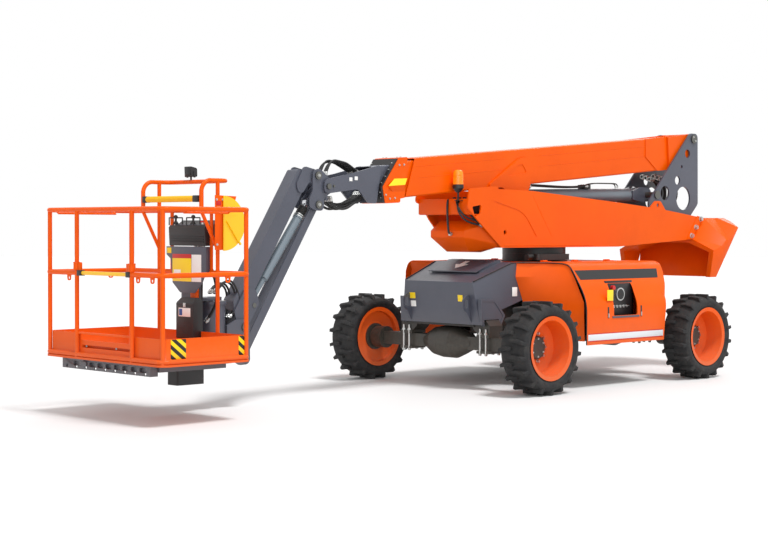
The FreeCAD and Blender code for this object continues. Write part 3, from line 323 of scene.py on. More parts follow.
def heldHose(name, body, routes, mat=hoseRubber, fittings=True):
    # hoses held at both ends, each end in a crimped fitting
    bm = bmesh.new()
    for points, r in routes:
        smoothTube(bm, points, r)
        if fittings:
            for end, near in ((points[0], points[1]), (points[-1], points[-2])):
                end = Vector(end)
                way = (Vector(near) - end).normalized() * r
                barBetween(bm, end, end + way * 4, r * 1.35, sides=16, index=1)
                barBetween(bm, end + way * 1.2, end + way * 2.2, r * 1.75, sides=6, index=1)
    finishPiece(name, bm, body, [mat, zinc], 40)


def arcCorners(points, steps=6):
    # corners in order as (a, b) or (a, b, radius); a rounded corner becomes an arc
    out = []
    for i, p in enumerate(points):
        here = Vector(p[:2])
        if len(p) < 3:
            out.append(here)
            continue
        back = (Vector(points[i - 1][:2]) - here).normalized()
        ahead = (Vector(points[(i + 1) % len(points)][:2]) - here).normalized()
        half = back.angle(ahead) / 2
        centre = here + (back + ahead).normalized() * (p[2] / math.sin(half))
        start = here + back * (p[2] / math.tan(half)) - centre
        end = here + ahead * (p[2] / math.tan(half)) - centre
        first = math.atan2(start.y, start.x)
        sweep = math.remainder(math.atan2(end.y, end.x) - first, math.tau)
        angles = [first + sweep * k / steps for k in range(steps + 1)]
        out += [centre + Vector((math.cos(angle), math.sin(angle))) * p[2] for angle in angles]
    return out


def prism(axis, points, low, high):
    # a closed solid with this outline, drawn out along X, Y or Z
    def place(a, b, c):
        return {"x": (c, a, b), "y": (a, c, b), "z": (a, b, c)}[axis]

    low, high = sorted((low, high))
    bm = bmesh.new()
    outlinePlate(bm, [place(*p, low) for p in arcCorners(points)], place(0, 0, high - low))
    return bm


def rodSolid(a, b, r, sides=48):
    bm = bmesh.new()
    barBetween(bm, a, b, r, sides=sides)
    return bm


def crossDisc(x, z, r, y0, y1):
    return rodSolid((x, y0, z), (x, y1, z), r)


def tubeSolid(x, y, outer, bore, z0, z1, sides=96):
    wide = rodSolid((x, y, z0), (x, y, z1), outer, sides)
    return carved(wide, [rodSolid((x, y, z0 - 0.01), (x, y, z1 + 0.01), bore, sides)])


def boxSolid(low, high):
    bm = bmesh.new()
    blockAt(bm, low, high, 0)
    return bm


def hullOf(points):
    # the closed convex solid round these corners
    bm = bmesh.new()
    made = bmesh.ops.convex_hull(bm, input=[bm.verts.new(p) for p in points])
    spare = set(made["geom_interior"]) | set(made["geom_unused"])
    bmesh.ops.delete(bm, geom=[v for v in spare if isinstance(v, bmesh.types.BMVert)], context="VERTS")
    bmesh.ops.dissolve_limit(bm, angle_limit=0.004, verts=bm.verts, edges=bm.edges)
    return bm


def asObject(bm):
    bmesh.ops.recalc_face_normals(bm, faces=bm.faces)
    mesh = bpy.data.meshes.new("tool")
    bm.to_mesh(mesh)
    bm.free()
    return linked("tool", mesh)


def carved(base, cutters, operation="DIFFERENCE"):
    # a solid less other solids, or what it has in common with one
    obj, tools = asObject(base), [asObject(bm) for bm in cutters]
    for tool in tools:
        mod = obj.modifiers.new("cut", "BOOLEAN")
        mod.operation, mod.solver, mod.object = operation, "EXACT", tool
    bpy.context.view_layer.update()
    mesh = bpy.data.meshes.new_from_object(obj.evaluated_get(bpy.context.evaluated_depsgraph_get()))
    out = bmesh.new()
    out.from_mesh(mesh)
    bpy.data.meshes.remove(mesh)
    for one in [obj] + tools:
        data = one.data
        bpy.data.objects.remove(one)
        bpy.data.meshes.remove(data)
    return out


def addSolids(bm, parts, index=None):
    # other solids set into the same piece, with their own material if one is given
    for part in parts:
        for face in part.faces if index is not None else ():
            face.material_index = index
        mesh = bpy.data.meshes.new("part")
        part.to_mesh(mesh)
        part.free()
        bm.from_mesh(mesh)
        bpy.data.meshes.remove(mesh)
    return bm


def merged(parts):
    return addSolids(bmesh.new(), parts)


def halfTurned(bm):
    # the same piece for the other side, turned half round
    bmesh.ops.rotate(bm, cent=(0, 0, 0), matrix=Matrix.Rotation(math.pi, 3, "Z"), verts=bm.verts)
    return bm


def softEdges(bm, offset, angle=25, segments=2):
    # ease every edge that turns more than this
    edges = [e for e in bm.edges if len(e.link_faces) == 2 and e.calc_face_angle(0) > math.radians(angle)]
    bevelEdges(bm, edges, offset, segments, True)
    return bm


def solidOf(name):
    # a node's own solid, moved back to the drawing's axis, to be cut further
    bm = bmesh.new()
    bm.from_mesh(nodes[name].data)
    bmesh.ops.translate(bm, vec=(-slewX, 0, 0), verts=bm.verts)
    return bm


# wheels
tyre = {"radius": 0.4178, "half": 0.15, "bead": 0.2625, "lugs": 18, "lugFoot": 0.325, "ease": 0.0035}
axleX, wheelY = 1.2, 1.1
wheels = {"front_left": (axleX, wheelY), "front_right": (axleX, -wheelY), "rear_left": (-axleX, wheelY),
          "rear_right": (-axleX, -wheelY)}
axleZ = 0.419
nuts = {"count": 10, "circle": 0.132, "across": 0.024, "height": 0.02, "face": -0.066}


def turnPiece(bm, x, y):
    # a wheel piece drawn about its own centre, outer side to +Y, set on its axle
    if y < 0:
        bmesh.ops.scale(bm, vec=(1, -1, 1), verts=bm.verts)
    bmesh.ops.translate(bm, vec=(x, y, axleZ), verts=bm.verts)


def lugShape(bm, side, angle):
    # a bent bar from the tyre's middle out over the shoulder, eased at its edges
    half = tyre["half"]
    plan = [(-0.03, -0.008), (0.004, -0.008), (0.004, 0.05), (0.024, half - 0.001), (-0.008, half - 0.001),
            (-0.03, 0.06)]
    base, top = outlinePlate(bm, [(x, y * side, tyre["lugFoot"]) for x, y in plan],
                             (0, 0, tyre["radius"] - tyre["lugFoot"]))
    bmesh.ops.translate(bm, vec=(0, -0.014 * side, 0), verts=[v for v in top if abs(v.co.y) > half - 0.01])
    for v in top:
        v.co.z = math.sqrt(max(tyre["radius"] ** 2 - v.co.x ** 2, 0))
    made = bevelEdges(bm, list({e for v in top for e in v.link_edges}), tyre["ease"])
    group = {v for v in base + top if v.is_valid} | {v for f in made["faces"] for v in f.verts}
    for v in list(group):
        group |= {w for f in v.link_faces for w in f.verts}
    bmesh.ops.rotate(bm, cent=(0, 0, 0), matrix=Matrix.Rotation(angle, 3, "Y"), verts=list(group))


def makeTyre(name):
    bm = bmesh.new()
    half, bead = tyre["half"], tyre["bead"]
    outline = [(half - 0.032, bead), (half - 0.026, bead + 0.026), (half - 0.012, bead + 0.045),
               (half - 0.001, bead + 0.075), (half - 0.002, 0.352), (half - 0.016, 0.374),
               (half - 0.045, 0.386), (half - 0.09, 0.391), (0.0, 0.393)]
    outline += [(-a, r) for a, r in reversed(outline[:-1])]
    spunRing(bm, [(0, a, r) for a, r in outline], (0, 0, 0), (0, 1, 0), 96)
    bmesh.ops.remove_doubles(bm, verts=bm.verts, dist=0.0001)
    pitch = math.tau / tyre["lugs"]
    for i in range(tyre["lugs"]):
        lugShape(bm, 1, i * pitch)
        lugShape(bm, -1, (i + 0.5) * pitch)
    turnPiece(bm, *wheels[name])
    finishPiece("lugged_tyre_" + name, bm, "wheel_" + name, tyreRubber, 35, replaces="tyre_" + name)


def boltCircle(bm, count, start, radius, y, across, height):
    for i in range(count):
        a = math.tau * (i + start) / count
        hexBolt(bm, (radius * math.cos(a), y, radius * math.sin(a)), (0, 1, 0), across, height)


def makeWheelNuts(name):
    # nuts round the hub cap, the cap's own bolts, and a valve stem on the rim's cone
    bm = bmesh.new()
    boltCircle(bm, nuts["count"], 0, nuts["circle"], nuts["face"], nuts["across"], nuts["height"])
    boltCircle(bm, 6, 0.5, 0.08, -0.026, 0.013, 0.009)
    barBetween(bm, (0.2, 0.0, 0.1), (0.19, 0.035, 0.095), 0.006, sides=12)
    turnPiece(bm, *wheels[name])
    finishPiece("wheel_nuts_" + name, bm, "wheel_" + name, zinc)


for wheel in wheels:
    makeTyre(wheel)
    makeWheelNuts(wheel)
print("wheels made")

# axle clamps
clamps = {"bar": 0.01, "spread": 0.036, "reach": 0.088, "top": 0.56, "low": 0.315}


def makeAxleClamps(name, x, y):
    # four threaded bars a side down past the axle through its pads, with nuts above and below
    bm = bmesh.new()
    corners = [(sx, side, sy) for sx in (-1, 1) for side in (-1, 1) for sy in (-1, 1)]
    for sx, side, sy in corners:
        px, py = x + sx * clamps["reach"], side * y + sy * clamps["spread"]
        barBetween(bm, (px, py, clamps["low"]), (px, py, clamps["top"]), clamps["bar"], sides=16)
        hexBolt(bm, (px, py, axleZ + 0.09), (0, 0, 1), 0.03, 0.018)
        hexBolt(bm, (px, py, axleZ - 0.084), (0, 0, -1), 0.03, 0.018)
    finishPiece(name, bm, "chassis", zinc)


makeAxleClamps("front_axle_clamps", axleX, 0.493)
makeAxleClamps("rear_axle_clamps", -axleX, 0.43)

# hood trim
hood = {"top": 1.162, "brow": 0.88, "slope": (1.162 - 0.988) / (1.372 - 0.88),
        "nose": 1.33, "noseFoot": 0.56, "lean": (1.372 - 1.33) / (0.988 - 0.56)}
deckArrow = {"tip": 1.12, "tail": 0.94, "y": -0.02, "width": 0.085, "head": 0.1, "shaft": 0.03,
             "lift": 0.0295}


def hoodTop(x):
    return hood["top"] - hood["slope"] * max(x - hood["brow"], 0)


def makeHoodTrim():
    # rubber strips in the seams between the top and the side sheets
    bm = bmesh.new()
    for side in (-1, 1):
        barBetween(bm, (0.9, side * 0.497, 1.159), (1.362, side * 0.437, 0.994), 0.006, sides=8)
        barBetween(bm, (0.72, side * 0.499, 1.163), (0.9, side * 0.497, 1.159), 0.006, sides=8)
    finishPiece("hood_seam_strips", bm, "chassis", hoseRubber)


def makeDeckArrow():
    # white direction arrow on the raised lid
    bm = bmesh.new()
    tip, tail, shaft = deckArrow["tip"], deckArrow["tail"], deckArrow["shaft"]
    neck, wide = tip - deckArrow["head"], deckArrow["width"]
    plan = [(tip, 0), (neck, wide), (neck, shaft), (tail, shaft), (tail, -shaft), (neck, -shaft),
            (neck, -wide)]
    corners = [(x, deckArrow["y"] + dy, hoodTop(x) + deckArrow["lift"]) for x, dy in plan]
    outlinePlate(bm, corners, (0, 0, 0.0006))
    finishPiece("deck_arrow", bm, "chassis", vinyl["white"])


def makeSlotGrille():
    # louvres in the dark slot under the lid's open edge
    bm = bmesh.new()
    for i in range(5):
        x = 1.02 + i * 0.026
        blockAt(bm, (x, -0.278, hoodTop(x) - 0.035), (x + 0.004, 0.278, hoodTop(x) - 0.004), 0.001)
    finishPiece("hood_slot_louvres", bm, "chassis", plastic)


def makeHoodLabels():
    # blank stickers on the nose, standing just off the leaning sheet, and one on the left side
    bm = bmesh.new()
    spots = [(-0.345, 0.846, 0.075, 0.055, 0), (-0.338, 0.77, 0.068, 0.055, 1), (0.272, 0.838, 0.06, 0.06, 0)]
    for y, z, width, height, index in spots:
        corners = []
        for dy, dz in ((-1, -1), (1, -1), (1, 1), (-1, 1)):
            pz = z + dz * height / 2
            px = hood["nose"] + (pz - hood["noseFoot"]) * hood["lean"] + 0.0006
            corners.append((px, y + dy * width / 2, pz))
        outlinePlate(bm, corners, (0.0008, 0, 0), index)
    finishPiece("nose_labels", bm, "chassis", [vinyl["yellow"], vinyl["white"]])
    bm = bmesh.new()
    blockAt(bm, (0.83, 0.5035, 0.85), (0.9, 0.5055, 0.935), 0.0008)
    finishPiece("hood_side_label", bm, "chassis", vinyl["white"])


for make in (makeHoodTrim, makeDeckArrow, makeSlotGrille, makeHoodLabels):
    make()
print("hood trim made")

# counterweight: a cast block raked forward to its foot, with sloped shoulders and a pocket in front
weight = {"rear": 2.82, "foot": 0.97, "waist": 1.5, "top": 1.602, "flank": 0.66,
          "seam": ((-2.404, 1.6), (-2.208, 1.372))}


def makeCounterweight():
    def plan(z, side, flank, cornerX, cornerY, rear):
        half = [(-2.2, side), (flank, side), (cornerX, cornerY), (rear, cornerY * 0.55)]
        return [(x, s * y, z) for x, y in half for s in (-1, 1)]

    low = plan(weight["foot"], 0.575, -2.315, -2.445, 0.43, -2.5)
    middle = plan(weight["waist"], weight["flank"], -2.6, -2.755, 0.48, -weight["rear"])
    top = plan(weight["top"], 0.64, -2.59, -2.735, 0.46, 0.025 - weight["rear"])
    # shoulders, as stations along the block with the heights at their inner and outer edges
    stations = [(-2.195, 1.382, 1.19), (-2.403, 1.618, 1.268), (-2.6, 1.626, 1.462), (-2.84, 1.612, 1.444)]
    cutters = []
    for side in (1, -1):
        for pair in zip(stations[:-1], stations[1:]):
            cutters.append(hullOf([(x, side * y, z) for x, inner, outer in pair for y, z in
                                   ((0.33, inner), (0.76, outer), (0.76, 1.7), (0.33, 1.7))]))
    (topX, topZ), (lowX, lowZ) = weight["seam"]
    seat = [(topX, 1.66), (topX, topZ), (lowX, lowZ), (-2.1, lowZ), (-2.1, 1.66)]
    cutters.append(prism("y", seat, -0.353, 0.353))
    pocket = hullOf([(x, y, z) for z, side, back in ((0.96, 0.52, -2.385), (1.5, 0.6, -2.62))
                     for x in (-2.1, back) for y in (side, -side)])
    mouth = [(-0.52, 0.9), (-0.568, 1.232), (-0.3, 1.335), (0.3, 1.335), (0.568, 1.232), (0.52, 0.9)]
    cutters.append(carved(pocket, [prism("x", mouth, -2.8, -2.1)], "INTERSECT"))
    bm = softEdges(carved(hullOf(low + middle + top), cutters), 0.016, 18, 3)
    finishPiece("cast_counterweight", bm, "turret", orange, 20, replaces="counterweight")


def makeWeightJoint():
    # edge strips of the turret's plates where the weight is bolted on, with their bolts
    (topX, topZ), (lowX, lowZ) = weight["seam"]
    strip = [(topX + 0.004, topZ), (topX + 0.124, topZ + 0.023), (lowX + 0.12, lowZ + 0.004),
             (lowX + 0.004, lowZ)]
    bm = merged([prism("y", strip, side * 0.3515, side * 0.358) for side in (-1, 1)])
    for side in (-1, 1):
        for x, z in ((-2.335, 1.59), (-2.248, 1.5), (-2.17, 1.41)):
            hexBolt(bm, (x, side * 0.358, z), (0, side, 0), 0.042, 0.024, 1)
    finishPiece("counterweight_joint", bm, "turret", [orange, zinc])


# side covers and the bays that they close; the two sides are the same, turned half round
pod = {"top": 1.165, "side": 1.085, "low": 0.405, "start": 0.504, "sheet": 0.01, "end": 0.85, "rear": -0.96,
       "window": (-0.25, 0.115, 0.665, 0.965), "hinges": (-0.56, -0.06, 0.4), "hingeY": 0.5,
       "deck": 1.162}


def podProfile(inset, start, low):
    side, top = pod["side"] - inset, pod["top"] - inset
    return [(start, low), (start, top), (0.865, top, 0.13 - inset), (1.01, 0.945, 0.3 - inset),
            (side, 0.77, 0.26 - inset), (side, low)]


def coverSheet():
    # rolled sheet: one end sweeps forward over the bay's lip, the other is raked clear of the tyre
    low, rear, end = pod["low"], pod["rear"], pod["end"]
    outer = prism("x", podProfile(0, pod["start"], low), rear, end)
    inner = prism("x", podProfile(pod["sheet"], 0.48, low - 0.01), rear - 0.01, end + 0.01)
    sweep = prism("z", [(0.515, 1.3), (0.515, 0.842, 0.2), (0.584, 0.72), (0.704, 0.602), (0.85, 0.499),
                        (0.96, 0.499), (0.96, 1.3)], 0.3, 1.3)
    rake = prism("y", [(-1.0, 0.3), (-0.675, 0.3), (-0.675, 0.43), (-0.72, 0.83), (-0.86, 1.06),
                       (-0.9, 1.2), (-1.0, 1.2)], 0.48, 1.2)
    x0, x1, z0, z1 = pod["window"]
    window = prism("y", [(x0, z0, 0.015), (x1, z0, 0.015), (x1, z1, 0.015), (x0, z1, 0.015)], 0.94, 1.2)
    sheet = carved(outer, [inner, sweep, rake, window])
    y = pod["hingeY"]
    for x in pod["hinges"]:
        blockAt(sheet, (x, y, 1.1655), (x + 0.06, y + 0.06, 1.171), 0.001)
        barBetween(sheet, (x, y, 1.172), (x + 0.06, y, 1.172), 0.009, sides=20)
    return sheet


def makeCovers():
    for side in (1, -1):
        name = sideName(side)
        bm = coverSheet() if side > 0 else halfTurned(coverSheet())
        finishPiece("cover_sheet_" + name, bm, "cover_" + name, orange, 25, replaces=name + "_cover")


def wallOf(rows):
    # a bent sheet through rows of corners
    bm = bmesh.new()
    grid = [[bm.verts.new(p) for p in row] for row in rows]
    for low, high in zip(grid[:-1], grid[1:]):
        for i in range(len(low) - 1):
            bm.faces.new((low[i], low[i + 1], high[i + 1], high[i]))
    bmesh.ops.recalc_face_normals(bm, faces=bm.faces)
    bmesh.ops.solidify(bm, geom=bm.faces, thickness=pod["sheet"])
    return bm


def bayEnds():
    # the lip and recess under the cover's swept end, and the plain wall inside its raked end
    lip = [[(0.7, 0.502, 0.44), (0.64, 0.68, 0.44), (0.56, 0.87, 0.44), (0.512, 1.05, 0.44)],
           [(0.747, 0.502, 0.803), (0.68, 0.67, 0.803), (0.59, 0.86, 0.803), (0.512, 1.04, 0.803)],
           [(0.85, 0.502, 1.03), (0.728, 0.64, 1.03), (0.61, 0.76, 1.03), (0.51, 0.925, 1.03)],
           [(0.836, 0.502, 1.152), (0.694, 0.6, 1.152), (0.574, 0.717, 1.152), (0.51, 0.85, 1.152)]]
    wall = [[(x, y, z) for y in (0.502, 0.86, out)] for x, z, out in
            ((-0.655, 0.44, 1.07), (-0.7, 0.85, 1.055), (-0.806, 1.078, 0.905), (-0.852, 1.12, 0.88),
             (-0.874, 1.15, 0.862))]
    return [wallOf(lip), wallOf(wall)]


def makeBays():
    # bay ends and the deck round the slewing ring, with the lugs of the covers' hinges
    top = pod["deck"]
    deck = prism("z", [(-0.699, -0.5), (0.699, -0.5), (0.699, 0.5), (-0.699, 0.5)], top - 0.01, top)
    ring = rodSolid((0, 0, 1.1), (0, 0, 1.2), 0.332, 96)
    bm = merged(bayEnds() + [halfTurned(part) for part in bayEnds()] + [carved(deck, [ring])])
    for side in (1, -1):
        for end in [x + dx for x in pod["hinges"] for dx in (-0.014, 0.062)]:
            x0, x1 = sorted((side * end, side * (end + 0.012)))
            blockAt(bm, (x0, side * 0.491 - 0.009, top), (x1, side * 0.491 + 0.009, top + 0.017), 0.0015)
    finishPiece("bay_ends_and_deck", bm, "chassis", orange, 25, replaces="side_bays")


# turret's side plates, the left with a window in its nose, the right with a shorter nose; grey uprights
plates = {"outer": 0.352, "inner": 0.336, "eye": (-1.574, 1.728), "eyeR": 0.022, "upright": (0.196, 0.214)}
boomPin = (-2.4, 2.455)
lightening = ((-2.292, 2.294, 0.046), (-2.189, 2.151, 0.017), (-2.112, 2.002, 0.046), (-1.887, 1.862, 0.076),
              (-2.218, 1.811, 0.125))


def makeTurretPlates():
    eyeX, eyeZ = plates["eye"]
    noses = {1: [(1.35, 1.668, 0.05), (1.322, 1.845, 0.03)],
             -1: [(1.142, 1.566, 0.02), (1.204, 1.648, 0.02), (1.214, 1.69, 0.012), (1.325, 1.73, 0.03),
                  (1.3, 1.85, 0.03)]}
    back = [(1.0, 1.872), (0.94, 1.872), (0.925, 1.85), (0.431, 1.84), (-0.935, 1.745), (eyeX + 0.13, 1.704),
            (eyeX + 0.046, eyeZ + 0.044, 0.044), (eyeX - 0.046, eyeZ + 0.044, 0.044), (eyeX - 0.13, 1.68),
            (-2.403, 1.6), (-2.207, 1.372)]
    fold = [(0.989, 1.738), (0.56, 1.64, 0.33), (0.369, 1.404), (0.702, 1.404, 0.06), (0.8, 1.56, 0.5)]
    window = [(1.287, 1.68, 0.012), (1.161, 1.7, 0.012), (1.176, 1.617, 0.012), (1.248, 1.588, 0.012)]
    parts = []
    for side, nose in noses.items():
        plate = prism("y", [(-0.9, 1.3), (0.881, 1.3)] + nose + back,
                      side * plates["inner"], side * plates["outer"])
        cutters = [prism("y", fold, side * 0.347, side * 0.36)]
        for x, z in ((0.829, 1.444), plates["eye"]):
            cutters.append(crossDisc(x, z, plates["eyeR"], side * 0.3, side * 0.36))
        if side > 0:
            cutters.append(prism("y", window, 0.3, 0.36))
        parts.append(carved(plate, cutters))
    finishPiece("turret_side_plates", merged(parts), "turret", orange, 20, replaces="turret_plates")


def makeUprights():
    # grey plates round the boom's pin, with their round holes and the web between them
    outline = [(-2.478, 2.515, 0.05), (-2.34, 2.515, 0.06), (-1.905, 2.08), (-1.598, 1.768, 0.06),
               (-1.64, 1.38), (-1.64, 1.3596), (-2.18, 1.3889), (-2.29, 1.5), (-2.352, 1.622),
               (-2.49, 1.752, 0.06)]
    inner, outer = plates["upright"]
    parts = [prism("y", [(-2.19, 1.45), (-1.7, 1.45), (-1.7, 1.466), (-2.19, 1.466)], -inner, inner)]
    for side in (-1, 1):
        holes = [crossDisc(x, z, r, side * 0.18, side * 0.23)
                 for x, z, r in lightening + ((*boomPin, 0.0301),)]
        parts.append(carved(prism("y", outline, side * inner, side * outer), holes))
    finishPiece("boom_upright_plates", merged(parts), "turret", grey, 20, replaces="upright_plates")


def makeNose():
    # folded cross plate between the noses with its lip, and the floor under the valves
    bm = bmesh.new()
    reach = plates["inner"]
    for x0, z0, x1, z1, edge in ((1.278, 1.613, 1.29, 1.755, 0.002), (1.205, 1.749, 1.279, 1.755, 0.001),
                                 (1.192, 1.607, 1.2795, 1.6135, 0.001)):
        blockAt(bm, (x0, -reach, z0), (x1, reach, z1), edge)
    finishPiece("nose_cross_plate", bm, "turret", orange)
    # belly box between the raked plates: a narrow floor, a band along the plates, a front that leans back
    rows = [(0.93, 0.141, -0.141, 1.256), (1.104, 0.141, -0.141, 1.26), (0.9, 0.3, -0.3, 1.3),
            (1.258, 0.226, -0.206, 1.397), (0.886, 0.335, -0.335, 1.33), (1.258, 0.226, -0.206, 1.457),
            (1.0, 0.335, -0.335, 1.54), (1.15, 0.218, -0.18, 1.555)]
    bm = softEdges(hullOf([(x, y, z) for x, left, right, z in rows for y in (left, right)]), 0.004, 12)
    finishPiece("nose_belly", bm, "turret", orange, 20, replaces="turret_nose")


def makeNeck():
    # black skirt round the turret's neck, over the slewing ring
    finishPiece("turret_neck_skirt", tubeSolid(0, 0, 0.312, 0.2902, 1.2405, 1.2995), "turret", black)


def makeRearHoses():
    # hose bundle that rises between the uprights to the boom's foot
    routes = []
    for i in range(6):
        y = -0.125 + i * 0.05
        drop = 0.014 * (i % 3)
        routes.append(([(-1.76, y, 1.47), (-1.93, y, 1.53 + drop), (-2.1, y, 1.66 + drop), (-2.23, y, 1.83),
                        (-2.22 + drop, y, 1.96), (-2.1, y, 2.035 - drop), (-1.93, y, 2.045 - drop)], 0.017))
    heldHose("rear_hose_bundle", "turret", routes)


def makeBeacon():
    # amber lamp on a post, carried by a bracket in front of the cross plate
    x, y = 1.33, 0.215
    bm = bmesh.new()
    blockAt(bm, (1.288, y - 0.025, 1.734), (x + 0.025, y + 0.025, 1.74), 0.001, 1)
    for z0, z1, r, r2, sides in ((1.74, 1.85, 0.009, 0.009, 20), (1.812, 1.852, 0.02, 0.05, 40),
                                 (1.85, 1.886, 0.052, 0.05, 40)):
        barBetween(bm, (x, y, z0), (x, y, z1), r, r2, sides, 1)
    dome = [(0.0, 2.022), (0.026, 2.019), (0.04, 2.008), (0.046, 1.99), (0.049, 1.886), (0.0, 1.886)]
    spunRing(bm, [(x + reach, y, z) for reach, z in dome], (x, y, 0), (0, 0, 1), 40)
    for i in range(4):
        barBetween(bm, (x, y, 1.905 + i * 0.022), (x, y, 1.909 + i * 0.022), 0.05, sides=40)
    finishPiece("amber_beacon", bm, "turret", [amber, plastic], replaces="beacon")


for make in (makeCounterweight, makeWeightJoint, makeCovers, makeBays, makeTurretPlates, makeUprights,
             makeNose, makeNeck, makeRearHoses, makeBeacon):
    make()
print("counterweight, covers and turret plates shaped")

# cover trim, for both sides
cover = {"bandTop": 1.092, "bandLow": 1.005, "front": 0.505, "rear": -0.8, "stripLow": 0.435,
         "stripTop": 0.512, "shoulder": ((1.1066, 0.9036), (0.967, 0.995))}


def coverSide(z):
    # distance out to the cover's skin on its flat shoulder, which runs between two heights
    (topZ, topY), (lowZ, lowY) = cover["shoulder"]
    return topY + (topZ - z) / (topZ - lowZ) * (lowY - topY)


def finishSide(name, bm, body, mats, side):
    # a piece drawn for the left side, turned half round if it is the right one
    if side < 0:
        halfTurned(bm)
    finishPiece(name + "_" + sideName(side), bm, body, mats)


def makeCoverBand(side):
    # dark printed band along the shoulder, raked at its ends
    bm = bmesh.new()
    top, low, front, rear = (cover[key] for key in ("bandTop", "bandLow", "front", "rear"))
    points = [(rear + 0.02, top), (front - 0.01, top), (front - 0.03, low), (rear + 0.075, low)]
    outlinePlate(bm, [(x, coverSide(z) + 0.0006, z + 0.0006) for x, z in points], (0, 0.001002, 0.00066))
    finishSide("cover_band", bm, "cover_" + sideName(side), vinyl["black"], side)


def makeCoverFittings(side):
    # latch slots with pull levers, the rail under the window, a blank label and the edged reflective strip
    bm = bmesh.new()
    x0, x1, z0, _ = pod["window"]
    low, top = cover["stripLow"], cover["stripTop"]
    rows = [(x0 - 0.025, x1 + 0.025, z0 - 0.022, z0 - 0.004, 0.006, 1, 0.002),
            (0.129, 0.22, 0.808, 0.909, 0.001, 5, 0.001),
            (-0.66, 0.5, low + 0.01, top - 0.01, 0.001, 2, 0.001)]
    for x in (0.2, -0.307):
        rows += [(x - 0.011, x + 0.011, 0.645, 0.75, 0.0015, 0, 0.001),
                 (x - 0.007, x + 0.007, 0.652, 0.69, 0.008, 4, 0.003)]
    rows += [(-0.66, 0.5, z, z + 0.008, 0.0011, 3, 0.001) for z in (low, top - 0.009)]
    for x0, x1, z0, z1, depth, index, edge in rows:
        blockAt(bm, (x0, pod["side"] - 0.0005, z0), (x1, pod["side"] + depth, z1), edge, index)
    finishSide("cover_fittings", bm, "cover_" + sideName(side),
               [plastic, grey, vinyl["silver"], vinyl["red"], zinc, vinyl["yellow"]], side)


def makeControlPanel(side):
    # ground control box behind the window: dark face with a gauge, a stop button and a row of switches
    bm = bmesh.new()
    middle, y = -0.0675, 0.995
    blockAt(bm, (middle - 0.21, 0.93, 0.64), (middle + 0.21, y, 0.99), 0.004)
    for dx, z, r, depth, index in ((-0.02, 0.86, 0.062, 0.012, 1), (-0.02, 0.86, 0.05, 0.014, 2),
                                   (0.105, 0.925, 0.022, 0.03, 3)):
        barBetween(bm, (middle + dx, y - 0.001, z), (middle + dx, y + depth, z), r, sides=40, index=index)
    for i in range(6):
        x, z = middle - 0.125 + i * 0.05, 0.745
        barBetween(bm, (x, y - 0.001, z), (x, y + 0.008, z), 0.013, sides=20, index=1)
        barBetween(bm, (x, y, z), (x, y + 0.03, z + 0.007), 0.004, 0.005, 12, 1)
    needle = [(middle + dx, y + 0.0145, z) for dx, z in ((-0.022, 0.858), (-0.018, 0.862), (0.012, 0.89))]
    outlinePlate(bm, needle, (0, 0.0006, 0), 3)
    finishSide("ground_control_panel", bm, "chassis", [plastic, zinc, vinyl["black"], vinyl["red"]], side)


def makeBaySeal(side):
    # black bulb seal under the cover's swept edge, then down its flank
    swept = [(0.842, 0.505, 1.1625), (0.7, 0.606, 1.1625), (0.58, 0.724, 1.1625), (0.519, 0.85, 1.15)]
    flank = [(0.905, 1.1), (0.96, 1.013), (1.018, 0.925), (1.062, 0.835), (1.078, 0.76), (1.079, 0.6),
             (1.079, 0.41)]
    points = [(side * x, side * y, z) for x, y, z in swept + [(0.5175, y, z) for y, z in flank]]
    heldHose("bay_edge_seal_" + sideName(side), "chassis", [(points, 0.005)], hoseRubber, False)


for side in (1, -1):
    for make in (makeCoverBand, makeCoverFittings, makeControlPanel, makeBaySeal):
        make(side)
print("side bays dressed")

# turret trim
liftEye, liftPin = Vector((-1.74, 0, 1.842)), Vector((0.43, 0, 1.79))


def makeWeldSeams():
    # weld seams along the turret plates' lower flange and the folded line
    bm = bmesh.new()
    for side in (-1, 1):
        y = side * plates["outer"]
        barBetween(bm, (-0.5, y, 1.317), (0.84, y, 1.321), 0.004, sides=8)
        barBetween(bm, (0.145, y, 1.403), (0.43, y, 1.797), 0.0025, sides=8)
    finishPiece("turret_weld_seams", bm, "turret", orange)


def makeValveHoses():
    # control hoses from the valves down behind the nose, back into the turret, and over the cross plate
    routes = [([(1.19, 0.2, 1.7), (1.245, 0.215, 1.705), (1.27, 0.25, 1.66), (1.2, 0.31, 1.56),
                (1.12, 0.325, 1.5)], 0.01),
              ([(1.24, 0.05, 1.7), (1.28, 0.05, 1.765), (1.303, 0.051, 1.72), (1.306, 0.058, 1.58),
                (1.304, 0.066, 1.47), (1.296, 0.07, 1.425), (1.254, 0.07, 1.43)], 0.01)]
    for i in range(5):
        y = -0.08 + i * 0.065
        routes.append(([(1.19, y, 1.685), (1.25, y, 1.69), (1.275, y + 0.02, 1.64), (1.22, y + 0.05, 1.6135)],
                       0.008))
        routes.append(([(1.03, y, 1.69), (0.96, y, 1.7), (0.8, y * 0.9, 1.66), (0.66, y * 0.8, 1.56),
                        (0.5, y * 0.7, 1.43), (0.42, y * 0.7, 1.32)], 0.009))
    for drop in (0.0, 0.035):
        routes.append(([(1.24, 0.13 + drop, 1.7), (1.285, 0.15 + drop, 1.765), (1.33, 0.2, 1.69 - drop),
                        (1.3, 0.26, 1.595 - drop), (1.21, 0.305, 1.555 - drop), (1.12, 0.325, 1.545 - drop)],
                       0.009))
    heldHose("valve_hoses", "turret", routes)


